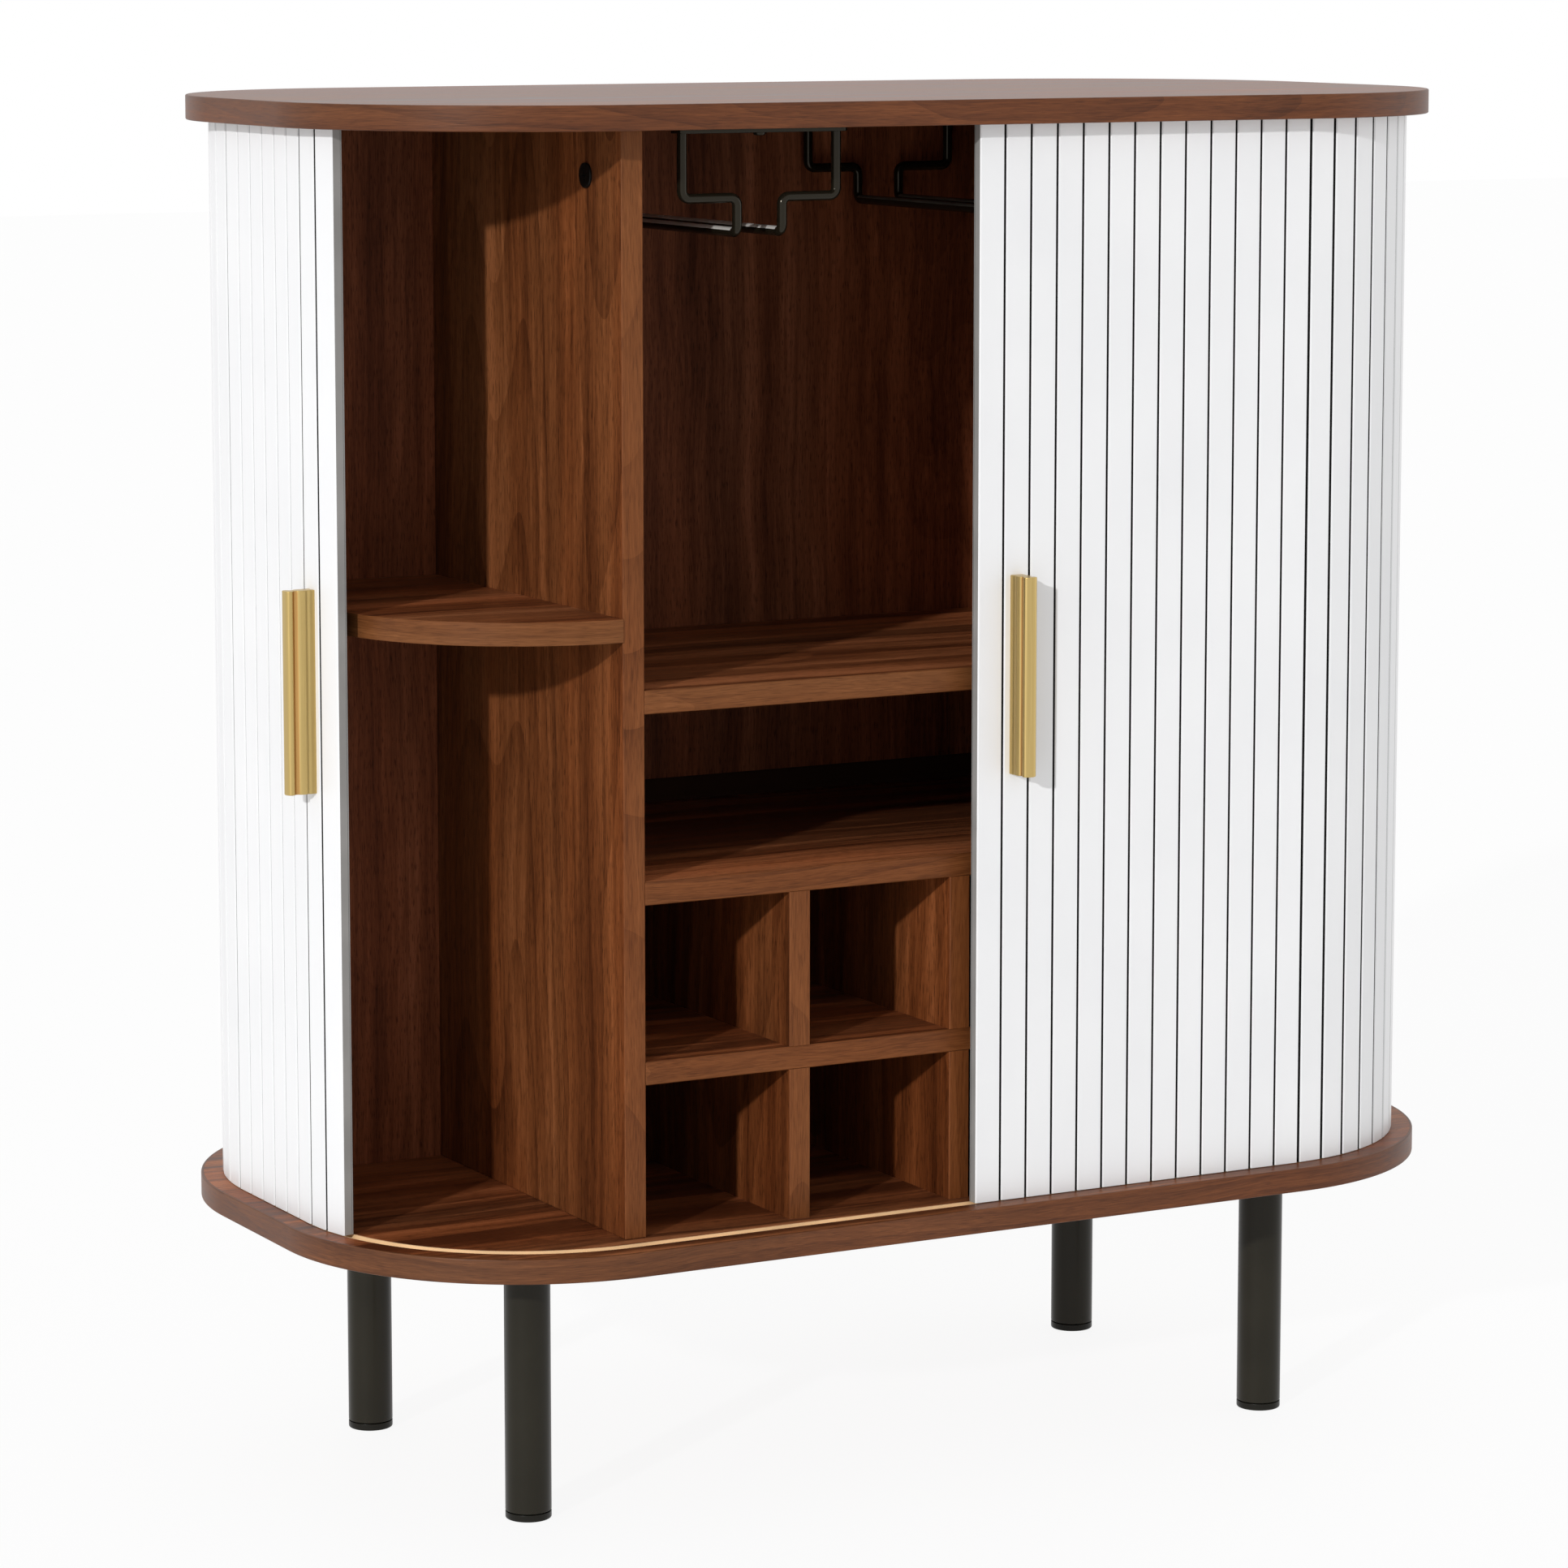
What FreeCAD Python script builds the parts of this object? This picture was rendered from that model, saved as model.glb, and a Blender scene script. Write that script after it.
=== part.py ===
import FreeCAD, Part
import Sketcher
import math
import os

# Bar cabinet with two sliding slatted doors, in millimetres.
# X runs along the front, Y from the front to the back and Z up.
# The origin is on the floor, under the middle of the cabinet.

# Driving sizes, each written once and kept in the sheet
SIZES = {
    # Outline of the top and base boards
    "width": 780.0, "depth": 422.6, "corner_radius": 159.0, "board": 15.0, "board_chamfer": 0.8,
    "inner_height": 654.0, "leg_length": 165.0,
    # Slatted doors and the channel that guides them
    "rim_inset": 13.6, "slat_pitch": 18.17, "slat_gap": 1.2, "slat_thickness": 6.0,
    "slat_chamfer": 0.7, "canvas": 0.8, "canvas_inset": 0.4, "slat_end_gap": 0.4,
    "channel_width": 8.7, "channel_height": 6.0, "channel_wall": 1.1, "channel_slot": 3.0,
    "channel_setback": 0.4, "channel_sink": 0.2,
    # Inner boards
    "panel": 14.0, "panel_chamfer": 0.5, "front_setback": 32.8, "back_setback": 131.3,
    "divider_gap": 2.6, "back_side_gap": 45.0, "back_panel": 12.0, "slot_height": 16.5,
    "slot_depth": 9.0,
    "bottle_shelf_top": 105.7, "lower_shelf_top": 213.5, "upper_shelf_top": 327.0,
    "corner_shelf_top": 370.1, "corner_shelf_gap": 11.6, "bottle_divider_gap": 0.5,
    # Legs with their studs and feet
    "leg_radius": 14.0, "leg_wall": 1.5, "leg_cap": 6.0, "leg_from_side": 127.2,
    "leg_from_front": 95.7, "foot_height": 5.0, "foot_stem": 14.0, "foot_clearance": 0.1,
    "foot_chamfer": 1.0, "stud_radius": 4.0, "stud_clearance": 0.1, "stud_length": 11.0,
    # Door handles
    "handle_length": 121.0, "handle_width": 8.8, "handle_foot": 10.2, "handle_neck": 4.0,
    "handle_lip": 3.8, "handle_groove": 1.6, "handle_round": 1.2, "handle_height": 323.6,
    # Wire racks for stemmed glasses
    "wire_radius": 3.0, "wire_bend": 7.0, "rack_half_width": 51.5, "rail_half_gap": 15.0,
    "rack_step": 20.5, "left_rack_drop": 42.0, "right_rack_drop": 36.0,
    "left_rack_share": 0.2934, "right_rack_share": 0.1924, "rack_front_setback": 22.5,
    "rack_rear_gap": 7.0, "strip_width": 14.0, "strip_thickness": 4.0, "strip_overhang": 5.0,
    # Connector caps in the outer faces of the dividers
    "connector_radius": 7.5, "connector_height": 1.4, "connector_chamfer": 0.4,
    "connector_drop": 28.0, "connector_setback": 45.0,
    # How far a cut runs past what it cuts
    "overrun": 2.0,
}
SLATS_PER_DOOR = 32
SLATS_PER_SEGMENT = 2
BOTTLE_COLUMNS = 4
OPEN_ANGLE = 74.2  # degrees round the front corner at which an open door stops
SEARCH_STEPS = 60
BEND_STEPS = 3  # short straight steps in each bend of a wire
WIRE_SIDES = 12
SAME_PLACE = 1e-4  # two places closer than this count as one

document = FreeCAD.newDocument("BarCabinet")
sheet = document.addObject("Spreadsheet::Sheet", "Sizes")
for row, (alias, value) in enumerate(SIZES.items(), start=1):
    sheet.set("A%d" % row, alias)
    sheet.set("B%d" % row, repr(value))
    sheet.setAlias("B%d" % row, alias)
document.recompute()

parts = []  # every sub-part, in the order in which it is written


def size(alias):
    """Value of one cell of the sheet."""
    return float(sheet.get(alias))


def keep(item, label):
    """Name a sub-part and list it for the export."""
    item.Label = label
    parts.append(item)
    return item


def bind(item, target, formula):
    """Tie one property or constraint to a formula of the sheet's cells."""
    item.setExpression(target, formula)


def place(item, x="0 mm", y="0 mm", z="0 mm"):
    """Tie a sub-part's position to formulas."""
    bind(item, "Placement.Base.x", x)
    bind(item, "Placement.Base.y", y)
    bind(item, "Placement.Base.z", z)


def mm(formula):
    """Write a formula in sheet aliases as an expression with a unit."""
    words = []
    for word in formula.replace("(", " ( ").replace(")", " ) ").split():
        words.append("Sizes." + word if word in SIZES else word)
    return "(" + " ".join(words) + ") * 1 mm"


# Main levels and distances, as formulas
FLOOR_OF_CASE = "leg_length + board"
UNDER_TOP = "leg_length + board + inner_height"
BAY_WIDTH = "(width - 2 * (corner_radius + panel + divider_gap))"
BAY_DEPTH = "(depth - front_setback - back_setback)"
FRONT_OF_BAY = "front_setback - depth / 2"
BACK_OF_BAY = "depth / 2 - back_setback"
LEG_SPOTS = (("front_left", "leg_from_side - width / 2", "leg_from_front - depth / 2"),
             ("front_right", "width / 2 - leg_from_side", "leg_from_front - depth / 2"),
             ("rear_left", "leg_from_side - width / 2", "depth / 2 - leg_from_front"),
             ("rear_right", "width / 2 - leg_from_side", "depth / 2 - leg_from_front"))


def base_plane(body, role):
    """Origin plane of a body, found by its role."""
    for plane in body.Origin.OriginFeatures:
        if plane.Role == role:
            return plane
    raise ValueError("no plane " + role)


def new_body(label):
    """Empty body, listed under its label."""
    return keep(document.addObject("PartDesign::Body", label), label)


def new_sketch(body, name, role="XY_Plane"):
    """Sketch on one of the body's origin planes."""
    sketch = body.newObject("Sketcher::SketchObject", body.Name + "_" + name)
    sketch.AttachmentSupport = (base_plane(body, role), [""])
    sketch.MapMode = "FlatFace"
    return sketch


def point(x, y, z=0.0):
    return FreeCAD.Vector(x, y, z)


def draw_rectangle(sketch, across, along):
    """Rectangle centred on the sketch's origin, its two sides tied to formulas."""
    half_across = evaluate(across) / 2
    half_along = evaluate(along) / 2
    corners = [point(-half_across, -half_along), point(half_across, -half_along),
               point(half_across, half_along), point(-half_across, half_along)]
    first = sketch.GeometryCount
    for index, corner in enumerate(corners):
        sketch.addGeometry(Part.LineSegment(corner, corners[(index + 1) % len(corners)]), False)
    for index in range(len(corners)):
        following = first + (index + 1) % len(corners)
        sketch.addConstraint(Sketcher.Constraint("Coincident", first + index, 2, following, 1))
    sketch.addConstraint(Sketcher.Constraint("Horizontal", first))
    sketch.addConstraint(Sketcher.Constraint("Vertical", first + 1))
    sketch.addConstraint(Sketcher.Constraint("Horizontal", first + 2))
    sketch.addConstraint(Sketcher.Constraint("Vertical", first + 3))
    sketch.addConstraint(Sketcher.Constraint("Symmetric", first, 1, first + 1, 2, -1, 1))
    tie(sketch, Sketcher.Constraint("DistanceX", first, 1, first, 2, evaluate(across)), across)
    tie(sketch, Sketcher.Constraint("DistanceY", first + 1, 1, first + 1, 2, evaluate(along)), along)


def tie(sketch, constraint, formula):
    """Add a size constraint and tie it to a formula."""
    index = sketch.addConstraint(constraint)
    bind(sketch, "Constraints[%d]" % index, mm(formula))


def draw_circle(sketch, across, along, radius):
    """Circle whose centre and radius are tied to formulas."""
    centre = point(evaluate(across), evaluate(along))
    index = sketch.addGeometry(Part.Circle(centre, point(0, 0, 1), evaluate(radius)), False)
    tie(sketch, Sketcher.Constraint("Radius", index, evaluate(radius)), radius)
    tie(sketch, Sketcher.Constraint("DistanceX", -1, 1, index, 3, centre.x), across)
    tie(sketch, Sketcher.Constraint("DistanceY", -1, 1, index, 3, centre.y), along)


def pad(body, sketch, formula, reverse=False):
    """Pad a sketch by a formula."""
    feature = body.newObject("PartDesign::Pad", body.Name + "_pad")
    feature.Profile = sketch
    feature.Reversed = reverse
    bind(feature, "Length", mm(formula))
    sketch.Visibility = False
    return feature


def pocket(body, sketch, formula, reverse=False):
    """Pocket a sketch by a formula and check that it cut something."""
    before = body.Shape.Volume
    feature = body.newObject("PartDesign::Pocket", body.Name + "_pocket")
    feature.Profile = sketch
    feature.Reversed = reverse
    bind(feature, "Length", mm(formula))
    document.recompute()
    if feature.Shape.isNull() or feature.Shape.Volume >= before:
        raise RuntimeError(body.Label + ": the pocket cuts nothing")
    return feature


def edges_where(feature, test):
    """Names of the edges of a feature that pass a test."""
    return ["Edge%d" % (index + 1) for index, edge in enumerate(feature.Shape.Edges) if test(edge)]


def is_upright(edge):
    ends = [vertex.Point for vertex in edge.Vertexes]
    return len(ends) == 2 and abs(ends[0].x - ends[1].x) + abs(ends[0].y - ends[1].y) < SAME_PLACE


def dress(body, kind, base, names, formula):
    """Fillet or chamfer some edges of a feature."""
    feature = body.newObject("PartDesign::" + kind, body.Name + "_" + kind.lower())
    feature.Base = (base, names)
    bind(feature, "Radius" if kind == "Fillet" else "Size", mm(formula))
    document.recompute()
    return feature


def board(label, across, deep, high, x, y, z):
    """Plain board with softened edges: its three sizes and the middle of its underside."""
    body = new_body(label)
    sketch = new_sketch(body, "outline")
    draw_rectangle(sketch, across, deep)
    solid = pad(body, sketch, high)
    document.recompute()
    dress(body, "Chamfer", solid, edges_where(solid, lambda edge: True), "panel_chamfer")
    place(body, mm(x), mm(y), mm(z))
    return body


def evaluate(formula):
    """Number that a formula of aliases gives now."""
    return float(sheet.evalExpression(mm(formula)).Value)


# Top and base boards
CHANNEL_OUTER = "corner_radius - rim_inset - channel_setback"


def draw_round_rectangle(sketch, half_across, half_deep, radius):
    """Rounded rectangle round the sketch's origin: centres of its corners and its radius."""
    x = evaluate(half_across)
    y = evaluate(half_deep)
    r = evaluate(radius)
    quarter = math.pi / 2
    centres = [point(x, -y), point(x, y), point(-x, y), point(-x, -y)]
    first = sketch.GeometryCount
    for index, centre in enumerate(centres):
        start = -quarter + index * quarter
        circle = Part.Circle(centre, point(0, 0, 1), r)
        sketch.addGeometry(Part.ArcOfCircle(circle, start, start + quarter), False)
    for index, centre in enumerate(centres):
        following = centres[(index + 1) % len(centres)]
        angle = index * quarter
        outward = point(math.cos(angle), math.sin(angle)) * r
        sketch.addGeometry(Part.LineSegment(centre + outward, following + outward), False)
    for index in range(len(centres)):
        arc = first + index
        line = first + len(centres) + index
        following = first + (index + 1) % len(centres)
        sketch.addConstraint(Sketcher.Constraint("Tangent", arc, 2, line, 1))
        sketch.addConstraint(Sketcher.Constraint("Tangent", line, 2, following, 1))
        if index:
            sketch.addConstraint(Sketcher.Constraint("Equal", first, arc))
    sketch.addConstraint(Sketcher.Constraint("Vertical", first + 4))
    sketch.addConstraint(Sketcher.Constraint("Horizontal", first + 5))
    sketch.addConstraint(Sketcher.Constraint("Symmetric", first, 3, first + 2, 3, -1, 1))
    tie(sketch, Sketcher.Constraint("Radius", first, r), radius)
    tie(sketch, Sketcher.Constraint("DistanceX", -1, 1, first, 3, x), half_across)
    tie(sketch, Sketcher.Constraint("DistanceY", -1, 1, first + 1, 3, y), half_deep)


HALF_STRAIGHT = "width / 2 - corner_radius"
HALF_SIDE = "depth / 2 - corner_radius"


def outline_board(label):
    """Rounded board with its rim chamfered, underside on the body's XY plane."""
    body = new_body(label)
    sketch = new_sketch(body, "outline")
    draw_round_rectangle(sketch, HALF_STRAIGHT, HALF_SIDE, "corner_radius")
    solid = pad(body, sketch, "board")
    document.recompute()
    dress(body, "Chamfer", solid, edges_where(solid, lambda edge: not is_upright(edge)), "board_chamfer")
    return body


def cut_channel_groove(body, height, reverse):
    """Groove all round a board, in which the guide channel lies."""
    sketch = new_sketch(body, "groove")
    draw_round_rectangle(sketch, HALF_STRAIGHT, HALF_SIDE, CHANNEL_OUTER)
    draw_round_rectangle(sketch, HALF_STRAIGHT, HALF_SIDE, CHANNEL_OUTER + " - channel_width")
    bind(sketch, "AttachmentOffset.Base.z", mm(height))
    pocket(body, sketch, "channel_height + channel_sink + overrun", reverse)


def make_boards():
    base = outline_board("base_panel")
    place(base, z=mm("leg_length"))
    cut_channel_groove(base, "board + overrun", False)
    sketch = new_sketch(base, "stud_holes")
    bind(sketch, "AttachmentOffset.Base.z", mm("0 - overrun"))
    for name, x, y in LEG_SPOTS:
        draw_circle(sketch, x, y, "stud_radius + stud_clearance")
    pocket(base, sketch, "stud_length + stud_clearance + overrun", True)
    top = outline_board("top_panel")
    place(top, z=mm(UNDER_TOP))
    cut_channel_groove(top, "0 - overrun", True)


def make_channel():
    """Guide channel: a ring with a shallow slot in its upper face, over which the slats run."""
    body = new_body("base_channel")
    sketch = new_sketch(body, "ring")
    draw_round_rectangle(sketch, HALF_STRAIGHT, HALF_SIDE, CHANNEL_OUTER)
    draw_round_rectangle(sketch, HALF_STRAIGHT, HALF_SIDE, CHANNEL_OUTER + " - channel_width")
    pad(body, sketch, "channel_height")
    document.recompute()
    slot = new_sketch(body, "slot")
    draw_round_rectangle(slot, HALF_STRAIGHT, HALF_SIDE, CHANNEL_OUTER + " - channel_wall")
    draw_round_rectangle(slot, HALF_STRAIGHT, HALF_SIDE,
                         CHANNEL_OUTER + " - channel_width + channel_wall")
    bind(slot, "AttachmentOffset.Base.z", mm("channel_height + overrun"))
    pocket(body, slot, "channel_slot + overrun")
    place(body, z=mm(FLOOR_OF_CASE + " - channel_sink - channel_height"))


make_boards()
make_channel()


# Inner boards
def make_inner_boards():
    middle_of_bay = FRONT_OF_BAY + " + " + BAY_DEPTH + " / 2"
    for side, sign in (("left", "0 - "), ("right", "")):
        board(side + "_divider", "panel", BAY_DEPTH, "inner_height",
              sign + "(" + BAY_WIDTH + " + panel) / 2", middle_of_bay, FLOOR_OF_CASE)
    for label, level in (("bottle_shelf", "bottle_shelf_top"), ("lower_shelf", "lower_shelf_top"),
                         ("upper_shelf", "upper_shelf_top")):
        board(label, BAY_WIDTH, BAY_DEPTH, "panel", "0", middle_of_bay,
              FLOOR_OF_CASE + " + " + level + " - panel")


def make_back_panel():
    body = new_body("inner_back_panel")
    sketch = new_sketch(body, "outline", "XZ_Plane")
    draw_rectangle(sketch, "width - 2 * back_side_gap", "inner_height")
    bind(sketch, "AttachmentOffset.Base.y", mm("inner_height / 2"))
    pad(body, sketch, "back_panel", True)
    document.recompute()
    slot = new_sketch(body, "slot", "XZ_Plane")
    draw_rectangle(slot, BAY_WIDTH, "slot_height")
    bind(slot, "AttachmentOffset.Base.y", mm("lower_shelf_top + slot_height / 2"))
    pocket(body, slot, "slot_depth")
    place(body, y=mm(BACK_OF_BAY), z=mm(FLOOR_OF_CASE))


def make_bottle_dividers():
    """Three upright boards in each of the two bottle rows."""
    rows = (("lower_bottle_dividers", "0", "bottle_shelf_top - panel"),
            ("upper_bottle_dividers", "bottle_shelf_top", "lower_shelf_top - bottle_shelf_top - panel"))
    bay = evaluate(BAY_WIDTH)
    deep = evaluate(BAY_DEPTH + " - bottle_divider_gap")
    column = (bay + size("panel")) / BOTTLE_COLUMNS
    for label, level, height in rows:
        solids = []
        for index in range(1, BOTTLE_COLUMNS):
            x = -bay / 2 - size("panel") + index * column
            y = evaluate(FRONT_OF_BAY)
            z = evaluate(FLOOR_OF_CASE + " + " + level)
            box = Part.makeBox(size("panel"), deep, evaluate(height), point(x, y, z))
            front = [edge for edge in box.Edges if is_upright(edge) and edge.CenterOfMass.y < y + SAME_PLACE]
            solids.append(box.makeChamfer(size("panel_chamfer"), front))
        add_shape(label, solids)


def add_shape(label, solids):
    """Sub-part that holds one or more computed solids."""
    feature = document.addObject("Part::Feature", label)
    feature.Shape = solids[0] if len(solids) == 1 else Part.makeCompound(solids)
    return keep(feature, label)


def make_corner_shelf(label, side):
    """Shelf with a round outer corner, between a divider and the back panel."""
    centre_x = size("width") / 2 - size("corner_radius")
    centre_y = size("corner_radius") - size("depth") / 2
    inner = centre_x - size("divider_gap")
    radius = evaluate("corner_radius - rim_inset - slat_thickness - canvas - corner_shelf_gap")
    back = evaluate(BACK_OF_BAY)
    begin = point(centre_x, centre_y - radius)
    bend = point(centre_x + radius * math.sqrt(0.5), centre_y - radius * math.sqrt(0.5))
    end = point(centre_x + radius, centre_y)
    corners = [point(inner, back), point(inner, centre_y - radius), begin]
    edges = [Part.LineSegment(corners[0], corners[1]).toShape(),
             Part.LineSegment(corners[1], corners[2]).toShape(),
             Part.Arc(begin, bend, end).toShape(),
             Part.LineSegment(end, point(centre_x + radius, back)).toShape(),
             Part.LineSegment(point(centre_x + radius, back), corners[0]).toShape()]
    face = Part.Face(Part.Wire(edges))
    solid = face.extrude(point(0, 0, size("panel")))
    rim = [edge for edge in solid.Edges if not is_upright(edge) and edge.CenterOfMass.y < back - SAME_PLACE
           and edge.CenterOfMass.x > inner + SAME_PLACE]
    solid = solid.makeChamfer(size("panel_chamfer"), rim)
    solid.translate(point(0, 0, evaluate(FLOOR_OF_CASE + " + corner_shelf_top - panel")))
    if side < 0:
        solid = solid.mirror(point(0, 0, 0), point(1, 0, 0))
    add_shape(label, [solid])


make_inner_boards()
make_back_panel()
make_bottle_dividers()
make_corner_shelf("left_corner_shelf", -1)
make_corner_shelf("right_corner_shelf", 1)


# Legs and feet
def revolve_profile(body, points, formulas):
    """Turn a closed outline of (radius, height) points round the body's Z axis."""
    sketch = new_sketch(body, "profile", "XZ_Plane")
    count = len(points)
    for index in range(count):
        start = point(*points[index])
        end = point(*points[(index + 1) % count])
        sketch.addGeometry(Part.LineSegment(start, end), False)
    for index in range(count):
        sketch.addConstraint(Sketcher.Constraint("Coincident", index, 2, (index + 1) % count, 1))
    for index, (across, high) in enumerate(formulas):
        if across == "0":
            sketch.addConstraint(Sketcher.Constraint("PointOnObject", index, 1, -2))
        else:
            tie(sketch, Sketcher.Constraint("DistanceX", -1, 1, index, 1, points[index][0]), across)
        if high == "0":
            sketch.addConstraint(Sketcher.Constraint("PointOnObject", index, 1, -1))
        else:
            tie(sketch, Sketcher.Constraint("DistanceY", -1, 1, index, 1, points[index][1]), high)
    feature = body.newObject("PartDesign::Revolution", body.Name + "_turned")
    feature.Profile = sketch
    feature.ReferenceAxis = (sketch, ["V_Axis"])
    feature.Angle = 360.0
    document.recompute()
    return feature


def turned_body(label, formulas):
    body = new_body(label)
    points = [(evaluate(across), evaluate(high)) for across, high in formulas]
    revolve_profile(body, points, formulas)
    return body


LEG_PROFILE = (("0", "leg_length - leg_cap"),
               ("leg_radius - leg_wall", "leg_length - leg_cap"),
               ("leg_radius - leg_wall", "foot_height"),
               ("leg_radius", "foot_height"),
               ("leg_radius", "leg_length"),
               ("stud_radius", "leg_length"),
               ("stud_radius", "leg_length + stud_length"),
               ("0", "leg_length + stud_length"))
FOOT_PROFILE = (("0", "0"),
                ("leg_radius - foot_chamfer", "0"),
                ("leg_radius", "foot_chamfer"),
                ("leg_radius", "foot_height"),
                ("leg_radius - leg_wall - foot_clearance", "foot_height"),
                ("leg_radius - leg_wall - foot_clearance", "foot_height + foot_stem"),
                ("0", "foot_height + foot_stem"))


def turned_solid(formulas):
    """Solid turned from a closed outline of (radius, height) formulas."""
    points = [point(evaluate(across), 0, evaluate(high)) for across, high in formulas]
    wire = Part.makePolygon(points + points[:1])
    return Part.Face(wire).revolve(point(0, 0, 0), point(0, 0, 1), 360)


def copies_under_legs(solid):
    """One copy of a solid at each leg's place."""
    copies = []
    for name, x, y in LEG_SPOTS:
        copies.append(solid.translated(point(evaluate(x), evaluate(y), 0)))
    return copies


def make_legs():
    for name, x, y in LEG_SPOTS:
        leg = turned_body(name + "_leg", LEG_PROFILE)
        place(leg, mm(x), mm(y))
    add_shape("foot_caps", copies_under_legs(turned_solid(FOOT_PROFILE)))


make_legs()


# Slatted doors
# A door is a row of slats glued to canvas, which bends at the line between two slats.
# Each pair of slats is one rigid segment, and the segments hinge on the canvas line.
def canvas_radius():
    return size("corner_radius") - size("rim_inset") - size("slat_thickness")


def track_point(run):
    """Place on the canvas line at a distance from the middle of the front."""
    across = size("width") / 2 - size("corner_radius")
    side = size("depth") / 2 - size("corner_radius")
    radius = canvas_radius()
    arc = radius * math.pi / 2
    if run <= across:
        return point(run, -side - radius)
    run -= across
    if run <= arc:
        return point(across + radius * math.sin(run / radius), -side - radius * math.cos(run / radius))
    run -= arc
    if run <= 2 * side:
        return point(across + radius, run - side)
    run -= 2 * side
    if run <= arc:
        return point(across + radius * math.cos(run / radius), side + radius * math.sin(run / radius))
    run -= arc
    return point(across - run, side + radius)


def next_run(run, chord):
    """Distance along the canvas line of the point that lies one chord further on."""
    start = track_point(run)
    low = run
    high = run + 2 * chord
    for _ in range(SEARCH_STEPS):
        middle = (low + high) / 2
        if start.distanceToPoint(track_point(middle)) < chord:
            low = middle
        else:
            high = middle
    return (low + high) / 2


def slat_line(first_run):
    """Points between the slats of one door, from its leading edge to its tail."""
    runs = [first_run]
    for _ in range(SLATS_PER_DOOR):
        runs.append(next_run(runs[-1], size("slat_pitch")))
    return [track_point(run) for run in runs]


def open_run():
    """Distance of an open door's leading edge from the middle of the front."""
    return size("width") / 2 - size("corner_radius") + canvas_radius() * math.radians(OPEN_ANGLE)


def local_frame(start, end):
    """Directions along a slat and outwards from it."""
    along = (end - start).normalize()
    return along, point(along.y, -along.x)


def prism(outline):
    """Upright solid on an outline, between the guide channels."""
    bottom = evaluate(FLOOR_OF_CASE + " + slat_end_gap")
    top = evaluate(UNDER_TOP + " - slat_end_gap")
    corners = [point(corner.x, corner.y, bottom) for corner in outline]
    return Part.Face(Part.makePolygon(corners + corners[:1])).extrude(point(0, 0, top - bottom))


def slat(start, end):
    """One slat with its two outer edges softened."""
    along, outwards = local_frame(start, end)
    length = start.distanceToPoint(end)
    near = size("slat_gap") / 2
    far = length - near
    thick = size("slat_thickness")
    soft = size("slat_chamfer")
    shape = ((near, 0), (far, 0), (far, thick - soft), (far - soft, thick), (near + soft, thick),
             (near, thick - soft))
    return prism([start + along * run + outwards * out for run, out in shape])


def canvas_strip(points):
    """Canvas behind the slats of one segment."""
    first_along, first_out = local_frame(points[0], points[1])
    last_along, last_out = local_frame(points[-2], points[-1])
    inset = size("canvas_inset")
    thick = size("canvas")
    glued = [points[0] + first_along * inset] + points[1:-1] + [points[-1] - last_along * inset]
    middle_out = (first_out + last_out).normalize()
    directions = [first_out] + [middle_out] * (len(points) - 2) + [last_out]
    free = [place_on_line - out * thick for place_on_line, out in zip(glued, directions)]
    return prism(glued + free[::-1])


def mirrored(points):
    return [point(-place_on_line.x, place_on_line.y) for place_on_line in points]


def door_segment(points, side):
    """Slats and canvas of one segment, made on the right and mirrored for the left."""
    solids = [slat(start, end) for start, end in zip(points[:-1], points[1:])]
    solids.append(canvas_strip(points))
    if side < 0:
        solids = [solid.mirror(point(0, 0, 0), point(1, 0, 0)) for solid in solids]
    return solids


def make_door(name, side, first_run):
    line = slat_line(first_run)
    for index in range(SLATS_PER_DOOR // SLATS_PER_SEGMENT):
        start = index * SLATS_PER_SEGMENT
        points = line[start:start + SLATS_PER_SEGMENT + 1]
        add_shape("%s_door_segment_%02d" % (name, index + 1), door_segment(points, side))
    make_handle(name + "_handle", side, line[1], line[2])


def handle_outline():
    """Half of the handle's section, as (half width, distance from the slat)."""
    half = size("handle_width") / 2
    foot = size("handle_foot")
    neck = foot + size("handle_neck")
    lip = neck + size("handle_lip")
    return half, half - size("handle_groove"), foot, neck, lip


def make_handle(label, side, start, end):
    """Extruded pull: a foot on the slat, a hollowed neck and a lip, all with round edges."""
    along, outwards = local_frame(start, end)
    middle = (start + end) / 2 + outwards * size("slat_thickness")
    half, waist, foot, neck, lip = handle_outline()
    soft = size("handle_round")
    shape = [(-half, 0), (half, 0), (half, foot - soft), (half - soft, foot), (waist, foot + soft),
             (waist, neck - soft), (half - soft, neck), (half, neck + soft), (half, lip - soft),
             (half - soft, lip)]
    shape += [(-across, out) for across, out in shape[:1:-1]]
    corners = [middle + along * across + outwards * out for across, out in shape]
    bottom = evaluate(FLOOR_OF_CASE + " + handle_height - handle_length / 2")
    corners = [point(corner.x, corner.y, bottom) for corner in corners]
    solid = Part.Face(Part.makePolygon(corners + corners[:1])).extrude(point(0, 0, size("handle_length")))
    if side < 0:
        solid = solid.mirror(point(0, 0, 0), point(1, 0, 0))
    add_shape(label, [solid])


make_door("left", -1, open_run())
make_door("right", 1, 0.0)


# Wire racks under the top
def bend_steps(before, corner, after):
    """Ends of the short straight steps that stand for one right-angled bend."""
    back = (before - corner).normalize()
    on = (after - corner).normalize()
    centre = corner + (back + on) * size("wire_bend")
    turn = math.pi / 2 / BEND_STEPS
    reach = size("wire_bend") / math.cos(turn / 2)
    steps = []
    for index in range(BEND_STEPS):
        angle = index * turn + turn / 2
        steps.append(centre - on * reach * math.cos(angle) - back * reach * math.sin(angle))
    return steps


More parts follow.
